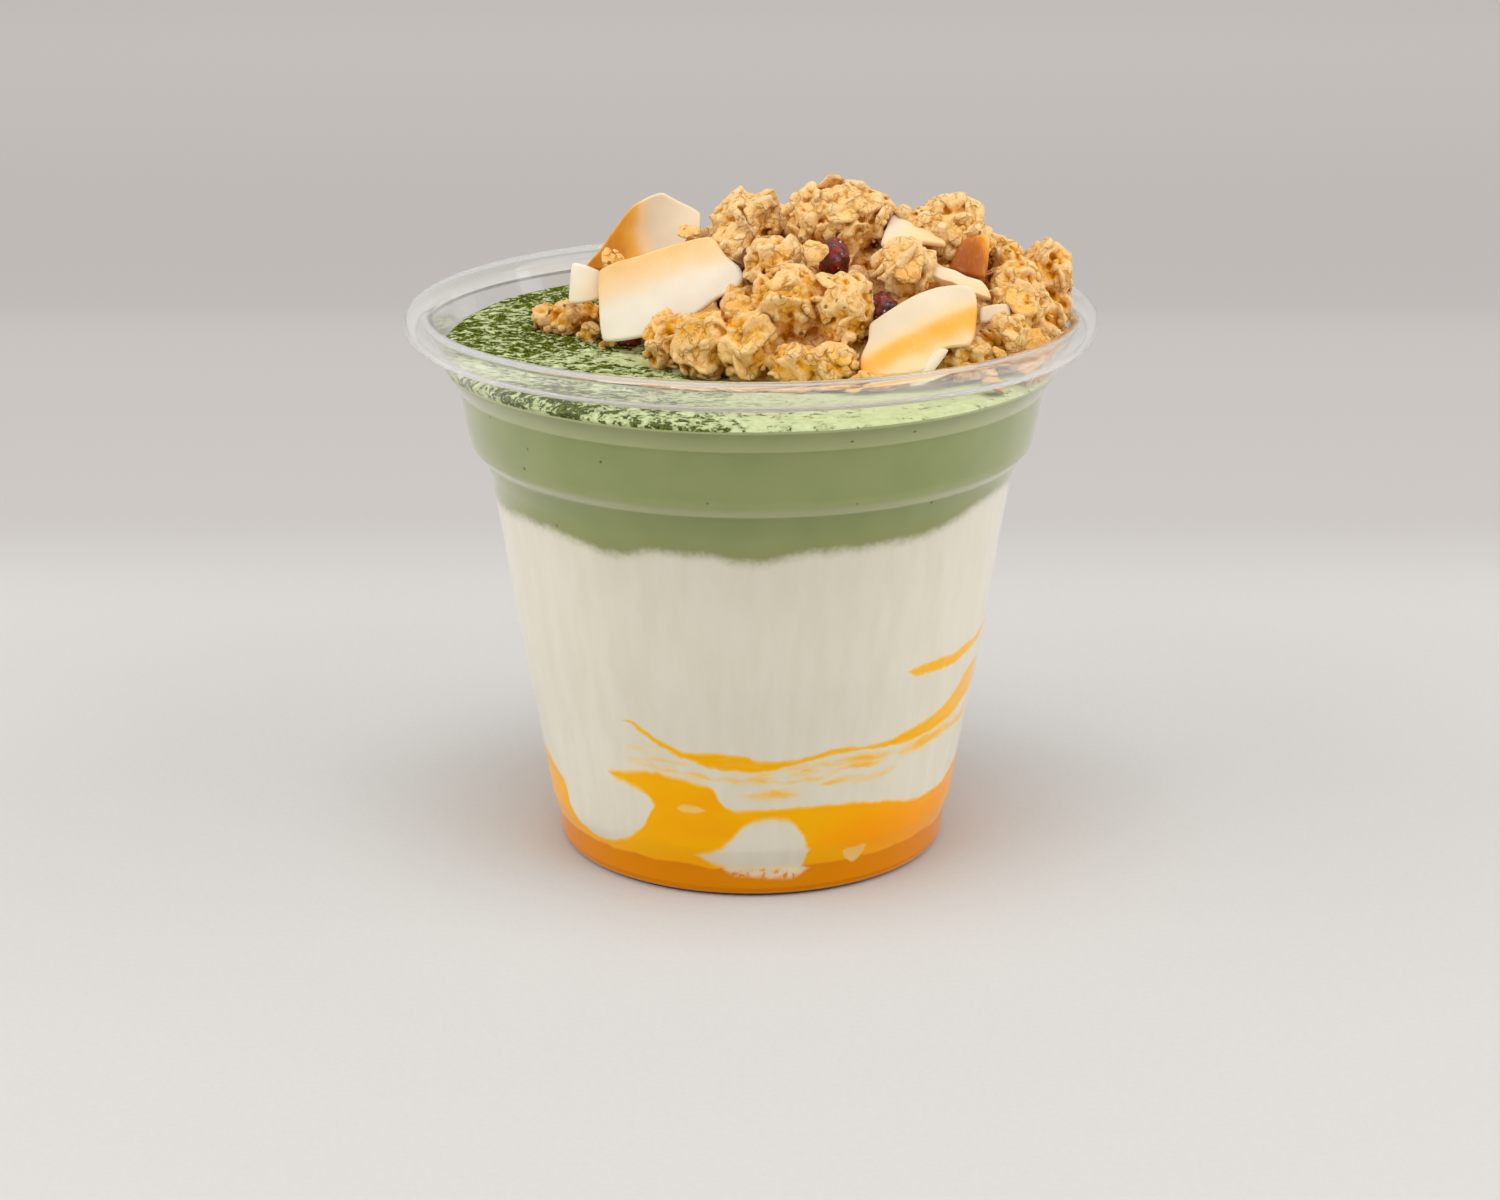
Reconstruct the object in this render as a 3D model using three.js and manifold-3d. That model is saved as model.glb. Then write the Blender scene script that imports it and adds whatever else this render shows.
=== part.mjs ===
// A layered parfait in a clear disposable cup: fruit puree, yogurt and matcha
// cream, topped with a heap of granola, coconut chips and dried berries.
// Millimetres, +Z up, origin at the centre of the base. Azimuth runs round the
// cup from the front (-Y) towards +X.

import * as THREE from "three";
import { mergeVertices } from "three/addons/utils/BufferGeometryUtils.js";
import Module from "manifold-3d";

const wasm = await Module();
wasm.setup();

// ---- Driving dimensions ----

const SIDES = 32; // facets round the cup and the layers in it
const GAP = 0.3; // clearance between neighbouring solids
const WALL = 0.5; // thickness of the cup's sheet
const SLIVER = 0.08; // in the granola, steps smaller than this are smoothed away

// Outside of the cup, [radius, height], from the centre of the floor to the lip.
const CUP_OUTSIDE = [
  [0, 1.2], [21.5, 1.2], [23.5, 0], [26.3, 0], [27.3, 1], // raised floor, foot ring, heel
  [27.5, 4.4], [28.5, 7.2], // step above the base band
  [30.6, 19.8], [32.8, 31.5], [34.6, 44.5], [36.1, 53.7], // gently swelling wall
  [37.1, 56.6], [38.8, 58.2], [39.5, 61.7], // lower stacking step
  [40.3, 66.3], [42.3, 69.1], [42.9, 71.5], // upper stacking step
];
const LIP = { radius: 45.6, height: 74.8, roll: 1.4, steps: 6 }; // sheet rolled outwards

const PUREE_LEVEL = 13.2; // where the puree meets the yogurt
const YOGURT_LEVEL = 51.8; // where the yogurt meets the matcha cream
const CREAM_LEVEL = 69.8; // top of the matcha cream at the front wall
const CREAM_RISE = 0.8; // how much higher the cream stands at the back left

const BUMP_RADIUS = 30; // the layers' bumps are full from here to the wall
// Uneven edges of the layers: [azimuth in degrees, height, half width in degrees].
const PUREE_BUMPS = [
  [-70, 1.6, 8], [-48, -7.8, 10], [-26, 4.6, 13], [56, -2.2, 12],
  [118, 2.6, 16], [176, -3.2, 14], [-128, 2.8, 18],
];
const YOGURT_BUMPS = [
  [-75, -1, 10], [-32, -1.5, 9], [-1, -1.3, 8], [66, 2.8, 18],
  [140, -1.4, 16], [-140, 1.6, 20],
];

// The granola's mound: a rounded box shape lying on the cream, right of centre.
const HEAP = { x: 15, y: 4, halfX: 31, halfY: 29, height: 20.5, squareness: 2.6 };
const CORE_SINK = 3.5; // depth of the bare core below the mound's surface
const FILL_PIECES = 38; // clusters that the rule spreads over the mound
const FILL_SIZE = [6.5, 10]; // their smallest and largest size
const NUGGET_VOLUME = 420; // a cluster has one nugget more for each such volume of its box
const CLEAR_OF_NAMED = 5; // the rule keeps this far from a named cluster

// Clusters that stand out, each with its centre and its size along X, Y and Z.
const CLUSTERS = [
  { at: [12.2, 0, 88.5], size: [15, 11, 10.5] }, // crown
  { at: [0, 2.5, 87.2], size: [8.5, 8, 8] }, // left of the crown
  { at: [-2.2, 0, 84], size: [7.5, 6.5, 6.5] },
  { at: [3.3, -9, 84], size: [8, 7, 6.5] },
  { at: [4.9, -15, 80.5], size: [9.5, 8, 8.5] }, // middle of the front slope
  { at: [12.3, -16.5, 79], size: [7.5, 8, 10] },
  { at: [20.4, -11.5, 83.6], size: [8, 7, 8] },
  { at: [28, -0.5, 86.3], size: [8.5, 9, 10.5] }, // right shoulder
  { at: [22.3, -1, 86.8], size: [5, 6, 6] },
  { at: [39.2, 0.5, 80.3], size: [7, 8, 8.5] }, // far right
  { at: [35.6, -5, 80.4], size: [7, 7, 6] },
  { at: [35, -11.5, 78], size: [6, 6, 7] },
  { at: [33.6, -16.2, 75.6], size: [6, 5.5, 6.5] },
  { at: [38.6, -9.5, 75.4], size: [6, 6, 8] },
  { at: [27.6, -19.8, 73.4], size: [7.5, 6.5, 5.5] },
  { at: [-11.8, -11, 73.3], size: [7.5, 6.5, 7.2] }, // front foot of the mound
  { at: [-6.2, -16, 74.2], size: [7.5, 7, 9.5] },
  { at: [-0.7, -17.5, 74.6], size: [8, 7, 9.5] },
  { at: [5.9, -20.5, 72.8], size: [6.8, 5.6, 5.8] },
  { at: [11.1, -20.8, 72.9], size: [6.2, 5.6, 5.4] },
  { at: [17, -21.6, 71.6], size: [7.5, 5, 3] },
];
// A small cluster that lies by itself on the cream, left of the mound.
const LEFT_CLUSTER = [
  { at: [-28.4, 7, 72.6], size: [4, 4.4, 4.8] },
  { at: [-25.8, 6, 72.7], size: [4, 4.6, 4.6] },
  { at: [-23.2, 8, 72.6], size: [4.4, 4.6, 4.6] },
];

// Coconut chips by their corners, anticlockwise from the lower left as seen
// from the front; bow is how far the middle stands out of the flat.
const CHIP_THICKNESS = 1.0;
const CHIP_ROUNDING = 0.3; // 0 leaves square corners
const CHIPS = [
  { corners: [[-20.3, -3, 71.7], [-0.8, -7, 79.9], [-5, -2, 86.3], [-20.7, 1, 81.1]], bow: 1.2 },
  { corners: [[-22.5, 5, 80.1], [-9, 4, 81.6], [-6.8, 7, 87.7], [-14.2, 8, 90.4]], bow: -1.4 },
  { corners: [[-25, 1, 76.4], [-21.2, 0.4, 77], [-21.9, 2, 80.7], [-25, 3, 81.4]], bow: 0.5 },
  { corners: [[14.4, -23, 72.2], [28.4, -23, 75.8], [29.5, -18, 82.6], [15.3, -19, 78.5]], bow: 1.4 },
  { corners: [[19.4, -25.4, 71.6], [22.2, -25.6, 71.8], [26, -25.2, 75.4], [23.4, -23.2, 74.2]], bow: 0.3 },
  { corners: [[17.2, -7, 85.6], [26.4, -5.6, 85.3], [24.1, 1, 87.4], [19.2, 1, 88.8]], bow: 0.8 },
  { corners: [[26.4, -7, 82.7], [32.4, -7, 81.1], [33.4, -5, 87.7], [28.4, -4.6, 86.5]], bow: 0.6 },
  { corners: [[23.5, -12.6, 82.6], [30.9, -13.6, 79.7], [32.2, -10.6, 80.6], [23.8, -10.6, 84]], bow: 0.4 },
  { corners: [[30.2, -16.4, 77.3], [34, -16, 77.7], [34.2, -14.6, 79.5], [30.2, -14.8, 79.2]], bow: 0.2 },
];

const BERRIES = [
  { at: [10.9, -11.4, 85.1], size: [5, 5, 5.4] },
  { at: [0.4, -5, 83.6], size: [3.4, 4, 3.4] },
  { at: [17.2, -16, 79.2], size: [4.4, 4.4, 4.4] },
];

// ---- Small helpers ----

// A repeatable random source with values from 0 to 1.
function seeded(seed) {
  let state = seed;
  return () => {
    state = (state + 0x6d2b79f5) | 0;
    let bits = Math.imul(state ^ (state >>> 15), 1 | state);
    bits = (bits + Math.imul(bits ^ (bits >>> 7), 61 | bits)) ^ bits;
    return ((bits ^ (bits >>> 14)) >>> 0) / 4294967296;
  };
}

const between = (random, low, high) => low + (high - low) * random();

// Moves every vertex of a geometry by a function that changes the point.
function reshape(geometry, move) {
  const position = geometry.getAttribute("position");
  const point = new THREE.Vector3();
  for (let i = 0; i < position.count; i += 1) {
    point.fromBufferAttribute(position, i);
    move(point, i);
    position.setXYZ(i, point.x, point.y, point.z);
  }
  return geometry;
}

// Keeps positions only and joins the vertices that coincide.
function merged(geometry) {
  geometry.deleteAttribute("normal");
  geometry.deleteAttribute("uv");
  return mergeVertices(geometry, 1e-4);
}

// A closed geometry as a solid that can be joined and cut.
function solid(geometry) {
  const clean = merged(geometry);
  const corners = clean.index.array;
  const faces = [];
  for (let i = 0; i < corners.length; i += 3) {
    const [a, b, c] = [corners[i], corners[i + 1], corners[i + 2]];
    if (a !== b && b !== c && c !== a) faces.push(a, b, c);
  }
  return new wasm.Manifold(new wasm.Mesh({
    numProp: 3,
    vertProperties: new Float32Array(clean.getAttribute("position").array),
    triVerts: new Uint32Array(faces),
  }));
}

const union = (solids) => solids.reduce((whole, next) => whole.add(next));

// The largest piece of a solid, without slivers: loose scraps and sealed
// hollows are dropped.
function largestPiece(shape) {
  const pieces = shape.simplify(SLIVER).decompose();
  return pieces.reduce((best, piece) => (piece.volume() > best.volume() ? piece : best));
}

// A named mesh from a solid, with its colour, roughness and opacity.
function part(name, shape, color, roughness, opacity = 1) {
  const { vertProperties, triVerts } = shape.getMesh();
  const geometry = new THREE.BufferGeometry();
  geometry.setAttribute("position", new THREE.BufferAttribute(vertProperties, 3));
  geometry.setIndex(new THREE.BufferAttribute(triVerts, 1));
  geometry.computeVertexNormals();
  const material = new THREE.MeshStandardMaterial({
    color, roughness, metalness: 0, opacity, transparent: opacity < 1, flatShading: true,
  });
  const mesh = new THREE.Mesh(geometry, material);
  mesh.name = name;
  return mesh;
}

// ---- Turned shapes ----

// Turns [radius, height] points round Z; the first side starts at azimuth 0.
function turned(points) {
  const outline = points.map(([radius, height]) => new THREE.Vector2(radius, height));
  return new THREE.LatheGeometry(outline, SIDES).rotateX(Math.PI / 2);
}

// An outline moved sideways by a distance, to the left of its own direction.
function offset(outline, distance) {
  return outline.map(([radius, height], i) => {
    const before = outline[Math.max(i - 1, 0)];
    const after = outline[Math.min(i + 1, outline.length - 1)];
    const here = [radius, height];
    const first = leftOf(i > 0 ? before : here, i > 0 ? here : after);
    const last = leftOf(i < outline.length - 1 ? here : before, i < outline.length - 1 ? after : here);
    const mean = first.clone().add(last).normalize();
    const reach = distance / mean.dot(first);
    return [Math.max(radius + mean.x * reach, 0), height + mean.y * reach];
  });
}

const leftOf = (from, to) => new THREE.Vector2(from[1] - to[1], to[0] - from[0]).normalize();

// The rolled lip: the sheet goes up, over and down on the outside.
function lipOutline() {
  const points = [];
  for (let i = 0; i <= LIP.steps; i += 1) {
    const angle = Math.PI * (1 - 1.5 * (i / LIP.steps));
    points.push([LIP.radius + LIP.roll * Math.cos(angle), LIP.height + LIP.roll * Math.sin(angle)]);
  }
  return points;
}

function cup() {
  const outside = [...CUP_OUTSIDE, ...lipOutline()];
  return solid(turned([...outside, ...offset(outside, WALL).reverse()]));
}

// The space inside the cup, kept clear of its wall, up to just below the lip.
const insideOutline = () => offset(CUP_OUTSIDE, WALL + GAP);

// ---- Layers ----

const azimuthOf = (x, y) => Math.atan2(x, -y);

// Height added by a list of bumps at an azimuth, in millimetres.
function bumpHeight(bumps, azimuth) {
  return bumps.reduce((sum, [centre, height, halfWidth]) => {
    const turn = THREE.MathUtils.radToDeg(azimuth) - centre;
    const away = THREE.MathUtils.euclideanModulo(turn + 180, 360) - 180;
    return sum + height * Math.exp(-((away / halfWidth) ** 2));
  }, 0);
}

// Bumps are full near the wall and fade towards the middle of the cup.
const fade = (radius) => Math.min(radius / BUMP_RADIUS, 1) ** 2;

const pureeTop = (azimuth, radius) => PUREE_LEVEL + bumpHeight(PUREE_BUMPS, azimuth) * fade(radius);
const yogurtTop = (azimuth, radius) => YOGURT_LEVEL + bumpHeight(YOGURT_BUMPS, azimuth) * fade(radius);

// The cream is nearly level: it rises to the back left in slow waves.
function creamTop(azimuth, radius) {
  const out = radius / LIP.radius;
  const tilt = 0.5 - 0.5 * Math.cos(azimuth - Math.PI / 5);
  return CREAM_LEVEL + CREAM_RISE * tilt * out + 0.15 * Math.sin(3 * azimuth + 5 * out);
}

// Everything up to a height that depends on azimuth and radius, wider than the cup.
function upTo(level) {
  const bottom = -10;
  const rings = [50, 30, 18, 0].map((radius) => [radius, 0]);
  return solid(reshape(turned([[0, bottom], [50, bottom], ...rings]), (point) => {
    if (point.z > bottom) point.z = level(azimuthOf(point.x, point.y), Math.hypot(point.x, point.y));
  }));
}

const shifted = (level, by) => (azimuth, radius) => level(azimuth, radius) + by;

// The filling of the cup up to a height; a layer is what lies between two of them.
function filling(level) {
  const outline = insideOutline();
  return solid(turned([...outline, [0, outline.at(-1)[1]]])).intersect(upTo(level));
}

const layer = (lower, upper) => (
  filling(shifted(upper, -GAP / 2)).subtract(upTo(shifted(lower, GAP / 2)))
);

// ---- Granola ----

// One rough nugget: a ball with few sides, its corners pushed in and out.
function nugget({ at, size }, random) {
  const ball = merged(new THREE.DodecahedronGeometry(0.55));
  reshape(ball, (point) => point.multiplyScalar(between(random, 0.84, 1.14)));
  ball.rotateX(between(random, 0, Math.PI)).rotateZ(between(random, 0, Math.PI));
  return solid(ball.scale(...size).translate(...at));
}

// A cluster is several nuggets baked together; a small one is a single nugget.
function cluster({ at, size }, random) {
  const count = 1 + Math.round((size[0] * size[1] * size[2]) / NUGGET_VOLUME);
  const share = count > 1 ? 1.1 / Math.cbrt(count) : 1;
  const spread = 0.6 * (1 - share);
  const pieces = [];
  for (let i = 0; i < count; i += 1) {
    pieces.push(nugget({
      at: at.map((middle, axis) => middle + size[axis] * between(random, -spread, spread)),
      size: size.map((length) => length * share * between(random, 0.85, 1.1)),
    }, random));
  }
  return union(pieces);
}

// Height of the mound's surface above the base, or null beside the mound.
function moundTop(x, y) {
  const across = Math.abs((x - HEAP.x) / HEAP.halfX) ** HEAP.squareness;
  const along = Math.abs((y - HEAP.y) / HEAP.halfY) ** HEAP.squareness;
  const out = across + along;
  return out < 1 ? CREAM_LEVEL + HEAP.height * (1 - out) ** 0.7 : null;
}

// The bare core: a ball pushed out towards a rounded box.
function core() {
  const power = HEAP.squareness;
  const ball = reshape(new THREE.SphereGeometry(1, 14, 8), (point) => {
    const { x, y, z } = point;
    const norm = Math.abs(x) ** power + Math.abs(y) ** power + Math.abs(z) ** power;
    point.multiplyScalar(1 / norm ** (1 / power));
  });
  const sizes = [HEAP.halfX, HEAP.halfY, HEAP.height].map((size) => size - CORE_SINK);
  return solid(ball.scale(...sizes).translate(HEAP.x, HEAP.y, CREAM_LEVEL));
}

// The rule spreads clusters evenly in a sunflower spiral over the mound.
function fillClusters(random) {
  const golden = Math.PI * (3 - Math.sqrt(5));
  const pieces = [];
  for (let i = 0; i < FILL_PIECES; i += 1) {
    const out = Math.sqrt((i + 0.5) / FILL_PIECES) * 0.98;
    const x = HEAP.x + HEAP.halfX * out * Math.cos(i * golden);
    const y = HEAP.y + HEAP.halfY * out * Math.sin(i * golden);
    const top = moundTop(x, y);
    const size = [0, 1, 2].map(() => between(random, ...FILL_SIZE));
    const named = CLUSTERS.some(({ at }) => Math.hypot(at[0] - x, at[1] - y) < CLEAR_OF_NAMED);
    if (top !== null && !named) {
      pieces.push(nugget({ at: [x, y, top - size[2] * 0.35], size }, random));
    }
  }
  return pieces;
}

// The room that toppings may fill: above the cream and clear of wall and lip.
function toppingRoom() {
  const outline = insideOutline();
  const lipInside = LIP.radius - LIP.roll - WALL - GAP;
  const lipTop = LIP.height + LIP.roll + WALL + GAP;
  const above = [[lipInside, LIP.height], [lipInside, lipTop], [LIP.radius, lipTop + 1], [LIP.radius, 110]];
  const room = solid(turned([...outline, ...above, [0, 110]]));
  return room.subtract(upTo(shifted(creamTop, GAP)));
}

// ---- Coconut chips ----

// A thin bowed plate between four corners; grow makes the larger cutting copy.
function chip({ corners, bow }, grow = 0) {
  const [a, b, c, d] = corners.map((corner) => new THREE.Vector3(...corner));
  const normal = c.clone().sub(a).cross(d.clone().sub(b)).normalize();
  const centre = a.clone().add(b).add(c).add(d).multiplyScalar(0.25);
  const plate = reshape(new THREE.BoxGeometry(2, 2, 1, 5, 3, 1), (point) => {
    const { x, y, z } = point;
    const u = x * Math.sqrt(1 - CHIP_ROUNDING * y * y);
    const v = y * Math.sqrt(1 - CHIP_ROUNDING * x * x);
    const low = a.clone().lerp(b, (u + 1) / 2);
    const high = d.clone().lerp(c, (u + 1) / 2);
    point.copy(low.lerp(high, (v + 1) / 2));
    const outward = point.clone().sub(centre).setLength(grow);
    point.add(outward).addScaledVector(normal, bow * (1 - u * u) + z * (CHIP_THICKNESS + 2 * grow));
  });
  return solid(plate);
}

// A dried berry, with a larger copy for cutting.
function berry({ at, size }, seed, grow = 0) {
  return nugget({ at, size: size.map((length) => length + 2 * grow) }, seeded(seed));
}

// ---- The whole ----

function granolaHeap() {
  const random = seeded(7);
  const named = CLUSTERS.map((place) => cluster(place, random));
  let heap = union([core(), ...fillClusters(random), ...named]).intersect(toppingRoom());
  CHIPS.forEach((place) => { heap = heap.subtract(chip(place, GAP)); });
  BERRIES.forEach((place, i) => { heap = heap.subtract(berry(place, 50 + i, GAP)); });
  return largestPiece(heap);
}

function leftCluster() {
  const random = seeded(21);
  const pieces = LEFT_CLUSTER.map((place) => nugget(place, random));
  return largestPiece(union(pieces).intersect(toppingRoom()));
}

const parfait = new THREE.Group();
parfait.name = "parfait";
parfait.add(
  part("cup", cup(), 0xe9ecea, 0.06, 0.25),
  part("fruit_puree", filling(shifted(pureeTop, -GAP / 2)), 0xf0a412, 0.25),
  part("yogurt", layer(pureeTop, yogurtTop), 0xe8e2d2, 0.35),
  part("matcha_cream", layer(yogurtTop, creamTop), 0x9cae78, 0.4),
  part("granola_heap", granolaHeap(), 0xdcae70, 0.7),
  part("granola_cluster_left", leftCluster(), 0xd4a566, 0.7),
);
CHIPS.forEach((place, i) => {
  parfait.add(part(`coconut_chip_${i + 1}`, chip(place), 0xf3e6cc, 0.55));
});
BERRIES.forEach((place, i) => {
  parfait.add(part(`dried_berry_${i + 1}`, berry(place, 50 + i), 0x6e1410, 0.35));
});

export default parfait;
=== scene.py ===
"""The looks of a layered parfait in a clear cup.

Shapes are worked out in millimetres, with the cup's axis on Z and the shown
side towards -Y, and become metres when a mesh is made. Azimuth runs round the
cup from -Y towards +X.
"""

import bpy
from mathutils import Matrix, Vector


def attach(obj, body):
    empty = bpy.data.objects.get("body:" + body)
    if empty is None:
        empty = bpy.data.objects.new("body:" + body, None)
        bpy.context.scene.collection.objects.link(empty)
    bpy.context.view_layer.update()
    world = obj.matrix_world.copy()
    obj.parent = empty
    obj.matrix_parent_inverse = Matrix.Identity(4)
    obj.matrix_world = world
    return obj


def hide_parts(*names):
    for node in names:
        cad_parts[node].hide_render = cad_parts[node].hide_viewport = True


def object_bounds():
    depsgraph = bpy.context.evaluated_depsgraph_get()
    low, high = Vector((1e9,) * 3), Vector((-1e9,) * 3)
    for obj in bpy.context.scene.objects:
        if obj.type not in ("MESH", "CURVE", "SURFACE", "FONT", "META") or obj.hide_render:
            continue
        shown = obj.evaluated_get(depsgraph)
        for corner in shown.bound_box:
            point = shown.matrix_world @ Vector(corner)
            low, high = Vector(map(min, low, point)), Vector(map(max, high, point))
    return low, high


bl_info = {
    "name": "Parfait in a clear cup",
    "version": (1, 0, 0),
    "blender": (4, 5, 0),
    "location": "3D View > Sidebar > Parfait",
    "description": "Builds a layered parfait with granola and coconut in its cup",
    "category": "Object",
}

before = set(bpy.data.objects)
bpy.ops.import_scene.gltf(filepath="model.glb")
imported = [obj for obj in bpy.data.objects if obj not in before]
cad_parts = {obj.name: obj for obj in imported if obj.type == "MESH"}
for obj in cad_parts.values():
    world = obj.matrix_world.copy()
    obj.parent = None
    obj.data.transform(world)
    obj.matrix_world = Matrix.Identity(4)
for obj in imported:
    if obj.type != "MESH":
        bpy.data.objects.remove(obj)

import math

import bmesh
import bpy
import numpy as np
from bpy.props import FloatProperty, FloatVectorProperty, IntProperty, PointerProperty
from mathutils import Vector
from mathutils.kdtree import KDTree

CAD_BOX = [list(corner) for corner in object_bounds()]
MM = 0.001  # metres in a millimetre

# ---- The cup's outline, [radius, height], from the floor's centre to the lip ----

CUP_OUTSIDE = [
    (0, 1.2), (21.5, 1.2), (23.5, 0), (26.3, 0), (27.3, 1),
    (27.5, 4.4), (28.5, 7.2),
    (30.6, 19.8), (32.8, 31.5), (34.6, 44.5), (36.1, 53.7),
    (37.1, 56.6), (38.8, 58.2), (39.5, 61.7),
    (40.3, 66.3), (42.3, 69.1), (42.9, 71.5),
]
CORNER_REACH = 0.5
LIP_RADIUS = 45.6
LIP_HEIGHT = 74.8
LIP_ROLL = 1.4
HEEL_HEIGHT = 0.95  # where the floor ends and the wall begins, inside
FLOOR_EDGE = 26.6  # radius there
CUP_SIDES = 160
EMPTY_IOR = 1.38  # index of refraction of the sheet with air behind it
FILLED_IOR = 1.14  # and with the filling against it
MILKY_SHEEN = (0.95, 0.93, 0.9)  # colour of the sheet's haze and of its painted sheen
SHADE = (0.96, 0.965, 0.96)  # colour of the light that falls through the cup

# Ledges that catch light, (top, bottom), and the thin line over the upper one, with how
# much light each kind lends to the cream.
LEDGES = ((69.3, 66.3), (59.6, 56.9))
LEDGE_LIGHT = 0.6
BRIGHT_LINE = (68.95, 69.6)
LINE_LIGHT = 0.7

# ---- The layers ----

PUREE_LEVEL = 13.2
YOGURT_LEVEL = 51.8
CREAM_LEVEL = 69.8
CREAM_AT_WALL = 69.35  # where the cream's surface ends at the front wall
CREAM_RISE = 2.4  # how much it rises from its low side to its high side
CREAM_LOW_SIDE = 50  # azimuth of the low side
RELIEF_REACH = 0.6  # how far from the wall the powder's relief fades in
DROP_REACH = 0.9  # how far from the wall the surface bends down to it
BUMP_RADIUS = 30.0  # from here out to the wall the bumps are full
WALL_RADIUS = 42.0  # stands for the wall where a height depends on the radius
LAYER_SIDES = 256
CREAM_SIDES = 480

# Bumps of the layers' edges: azimuth, height and half width.
PUREE_BUMPS = (
    (-70, 1.6, 8), (-48, -7.8, 10), (-26, 4.6, 13), (56, -2.2, 12),
    (118, 2.6, 16), (176, -3.2, 14), (-128, 2.8, 18),
)
YOGURT_BUMPS = (
    (-75, -1, 10), (-32, -1.5, 9), (-1, -1.3, 8), (66, 2.8, 18),
    (140, -1.4, 16), (-140, 1.6, 20),
)

# How much powder lies on the cream, as (azimuth, share), the spot that it leaves bare,
# and the stretch of wall along which it lies in patches, from a radius outwards.
POWDER = (
    (-180, 0.54), (-120, 0.6), (-60, 0.55), (-25, 0.48), (-5, 0.4), (12, 0.2), (30, 0.06),
    (60, 0.04), (75, 0.14), (110, 0.24), (150, 0.42), (180, 0.54),
)
BARE_CENTRE = (-15.5, -8.0)
BARE_HALF = (5.0, 3.6)
PATCH_STRETCH = (-75, 60)
PATCH_RADIUS = 36.5

# ---- The toppings ----

HEAP_CENTRE = (15.0, 4.0)
HEAP_HALF = (31.0, 29.0)
HEAP_HEIGHT = 20.5
HEAP_SQUARENESS = 2.6

# The heap's skyline seen from the front, (x, height), and how it falls off to the back.
SKYLINE = (
    (-20, 80), (-6, 88), (0, 91.5), (4, 90.6), (7, 93), (13, 93.3), (17, 91.2), (21.5, 89.2),
    (25.5, 91), (30, 90), (32.5, 86.5), (34.5, 83.8), (37, 83.3), (40, 84.6), (46, 78),
)
FALL_TO_BACK = 0.32
HIGHEST_FLAKE = 92.3  # for the middle of a flake, so that it stays under the part's box

# Clusters that a rule spreads over the heap: the number of places for them, how far they keep under
# the skyline and from what is listed, and the radius they stay within.
FILL_PLACES = 76
UNDER_SKYLINE = 1.2
CLEAR_OF_PLACED = 5.0
FILL_RADIUS = 40.0
# They come in two rounds: how far to the front, range of sizes, how deep they are sunk, and their
# share of the crisp flakes that a listed cluster has.
FILL_ROUNDS = ((5, (6.5, 9.5), 0, 0.8), (-30, (6, 8), 6, 0.35))
GOLDEN_SHARE = 3 - math.sqrt(5)  # half turns from one spread point to the next
ANY_TURN = 6.3  # a little over a full turn, for random angles

# What a cluster is made of: flakes and crumbs under its crust, crisp flakes and grit that
# stand out of it. First square millimetres of its oval for each of them, then lengths.
FLAKE_AREA = 11
CRUMB_AREA = 4
CRISP_AREA = 16
GRIT_AREA = 7
FLAKE_LENGTHS = (3.6, 6.4)
CRUMB_LENGTHS = (0.8, 2.4)
CRISP_LENGTHS = (2.6, 5.6)
GRIT_LENGTHS = (0.6, 1.5)
FULL_HALF = 3.9  # mean half size from which a cluster's flakes have their full length

# Clusters that stand out: centre, then size along X, Y and Z.
CLUSTERS = (
    ((11.9, 0, 88.0), (15.8, 11, 10.5)),
    ((-0.6, 2.5, 87.3), (9.4, 8, 8.2)),
    ((-2.2, 0, 84), (7.5, 6.5, 6.5)),
    ((3.3, -9, 84), (8, 7, 6.5)),
    ((4.9, -15, 80.5), (9.5, 8, 8.5)),
    ((12.3, -16.5, 79), (7.5, 8, 10)),
    ((20.4, -11.5, 83.6), (8, 7, 8)),
    ((27.4, -0.5, 86.3), (9.6, 9, 10.5)),
    ((34.8, -1, 83), (4.2, 4.6, 5)),
    ((22.3, -1, 86.8), (5, 6, 6)),
    ((40.2, 0.5, 80.3), (7.6, 8, 8.8)),
    ((40.4, -2.5, 75.8), (6.5, 7, 6.5)),
    ((35.6, -5, 80.4), (7, 7, 6)),
    ((35, -11.5, 78), (6, 6, 7)),
    ((33.6, -16.2, 75.6), (6, 5.5, 6.5)),
    ((38.6, -9.5, 75.4), (6, 6, 8)),
    ((27.6, -19.8, 73.4), (7.5, 6.5, 5.5)),
    ((-11, -11, 73.4), (6.8, 6.5, 7.4)),
    ((-6.2, -16, 74.2), (7.5, 7, 9.5)),
    ((-0.7, -17.5, 74.6), (8, 7, 9.5)),
    ((5.9, -20.5, 72.8), (6.8, 5.6, 5.8)),
    ((11.1, -20.8, 72.9), (6.2, 5.6, 5.4)),
    ((17, -21.6, 71.6), (7.5, 5, 3)),
)
LEFT_CLUSTER = (
    ((-28.4, 7, 72.6), (4, 4.4, 4.8)),
    ((-25.8, 6, 72.7), (4, 4.6, 4.6)),
    ((-23.2, 8, 72.6), (4.4, 4.6, 4.6)),
    ((-22.3, 2.4, 71.8), (3.2, 3.2, 3)),
)

# Single flakes and crumbs that lie loose: centre, then length.
LOOSE_FLAKES = (
    ((-1.4, -16.6, 79.6), 3.8),
    ((20.4, -14.2, 85), 6.5), ((35.6, -13.6, 79.4), 5.2), ((37.1, -16.5, 75), 4),
    ((32.6, -20.2, 74.1), 2.8), ((-19.8, -1.4, 71.0), 2.4), ((8.4, -13.4, 86.6), 3.6),
    ((-18.7, 1.6, 82), 4.6), ((-8.6, 3.4, 85.6), 3.2), ((-8.1, 2.4, 84.2), 2.4),
    ((15.8, -24.2, 72), 4.5), ((13.6, -24.6, 71.3), 3), ((36.5, -19.2, 71.8), 3.4),
    ((31.4, -24.3, 71.1), 3.2), ((36.6, -20.6, 70.8), 2.6),
)

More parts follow.
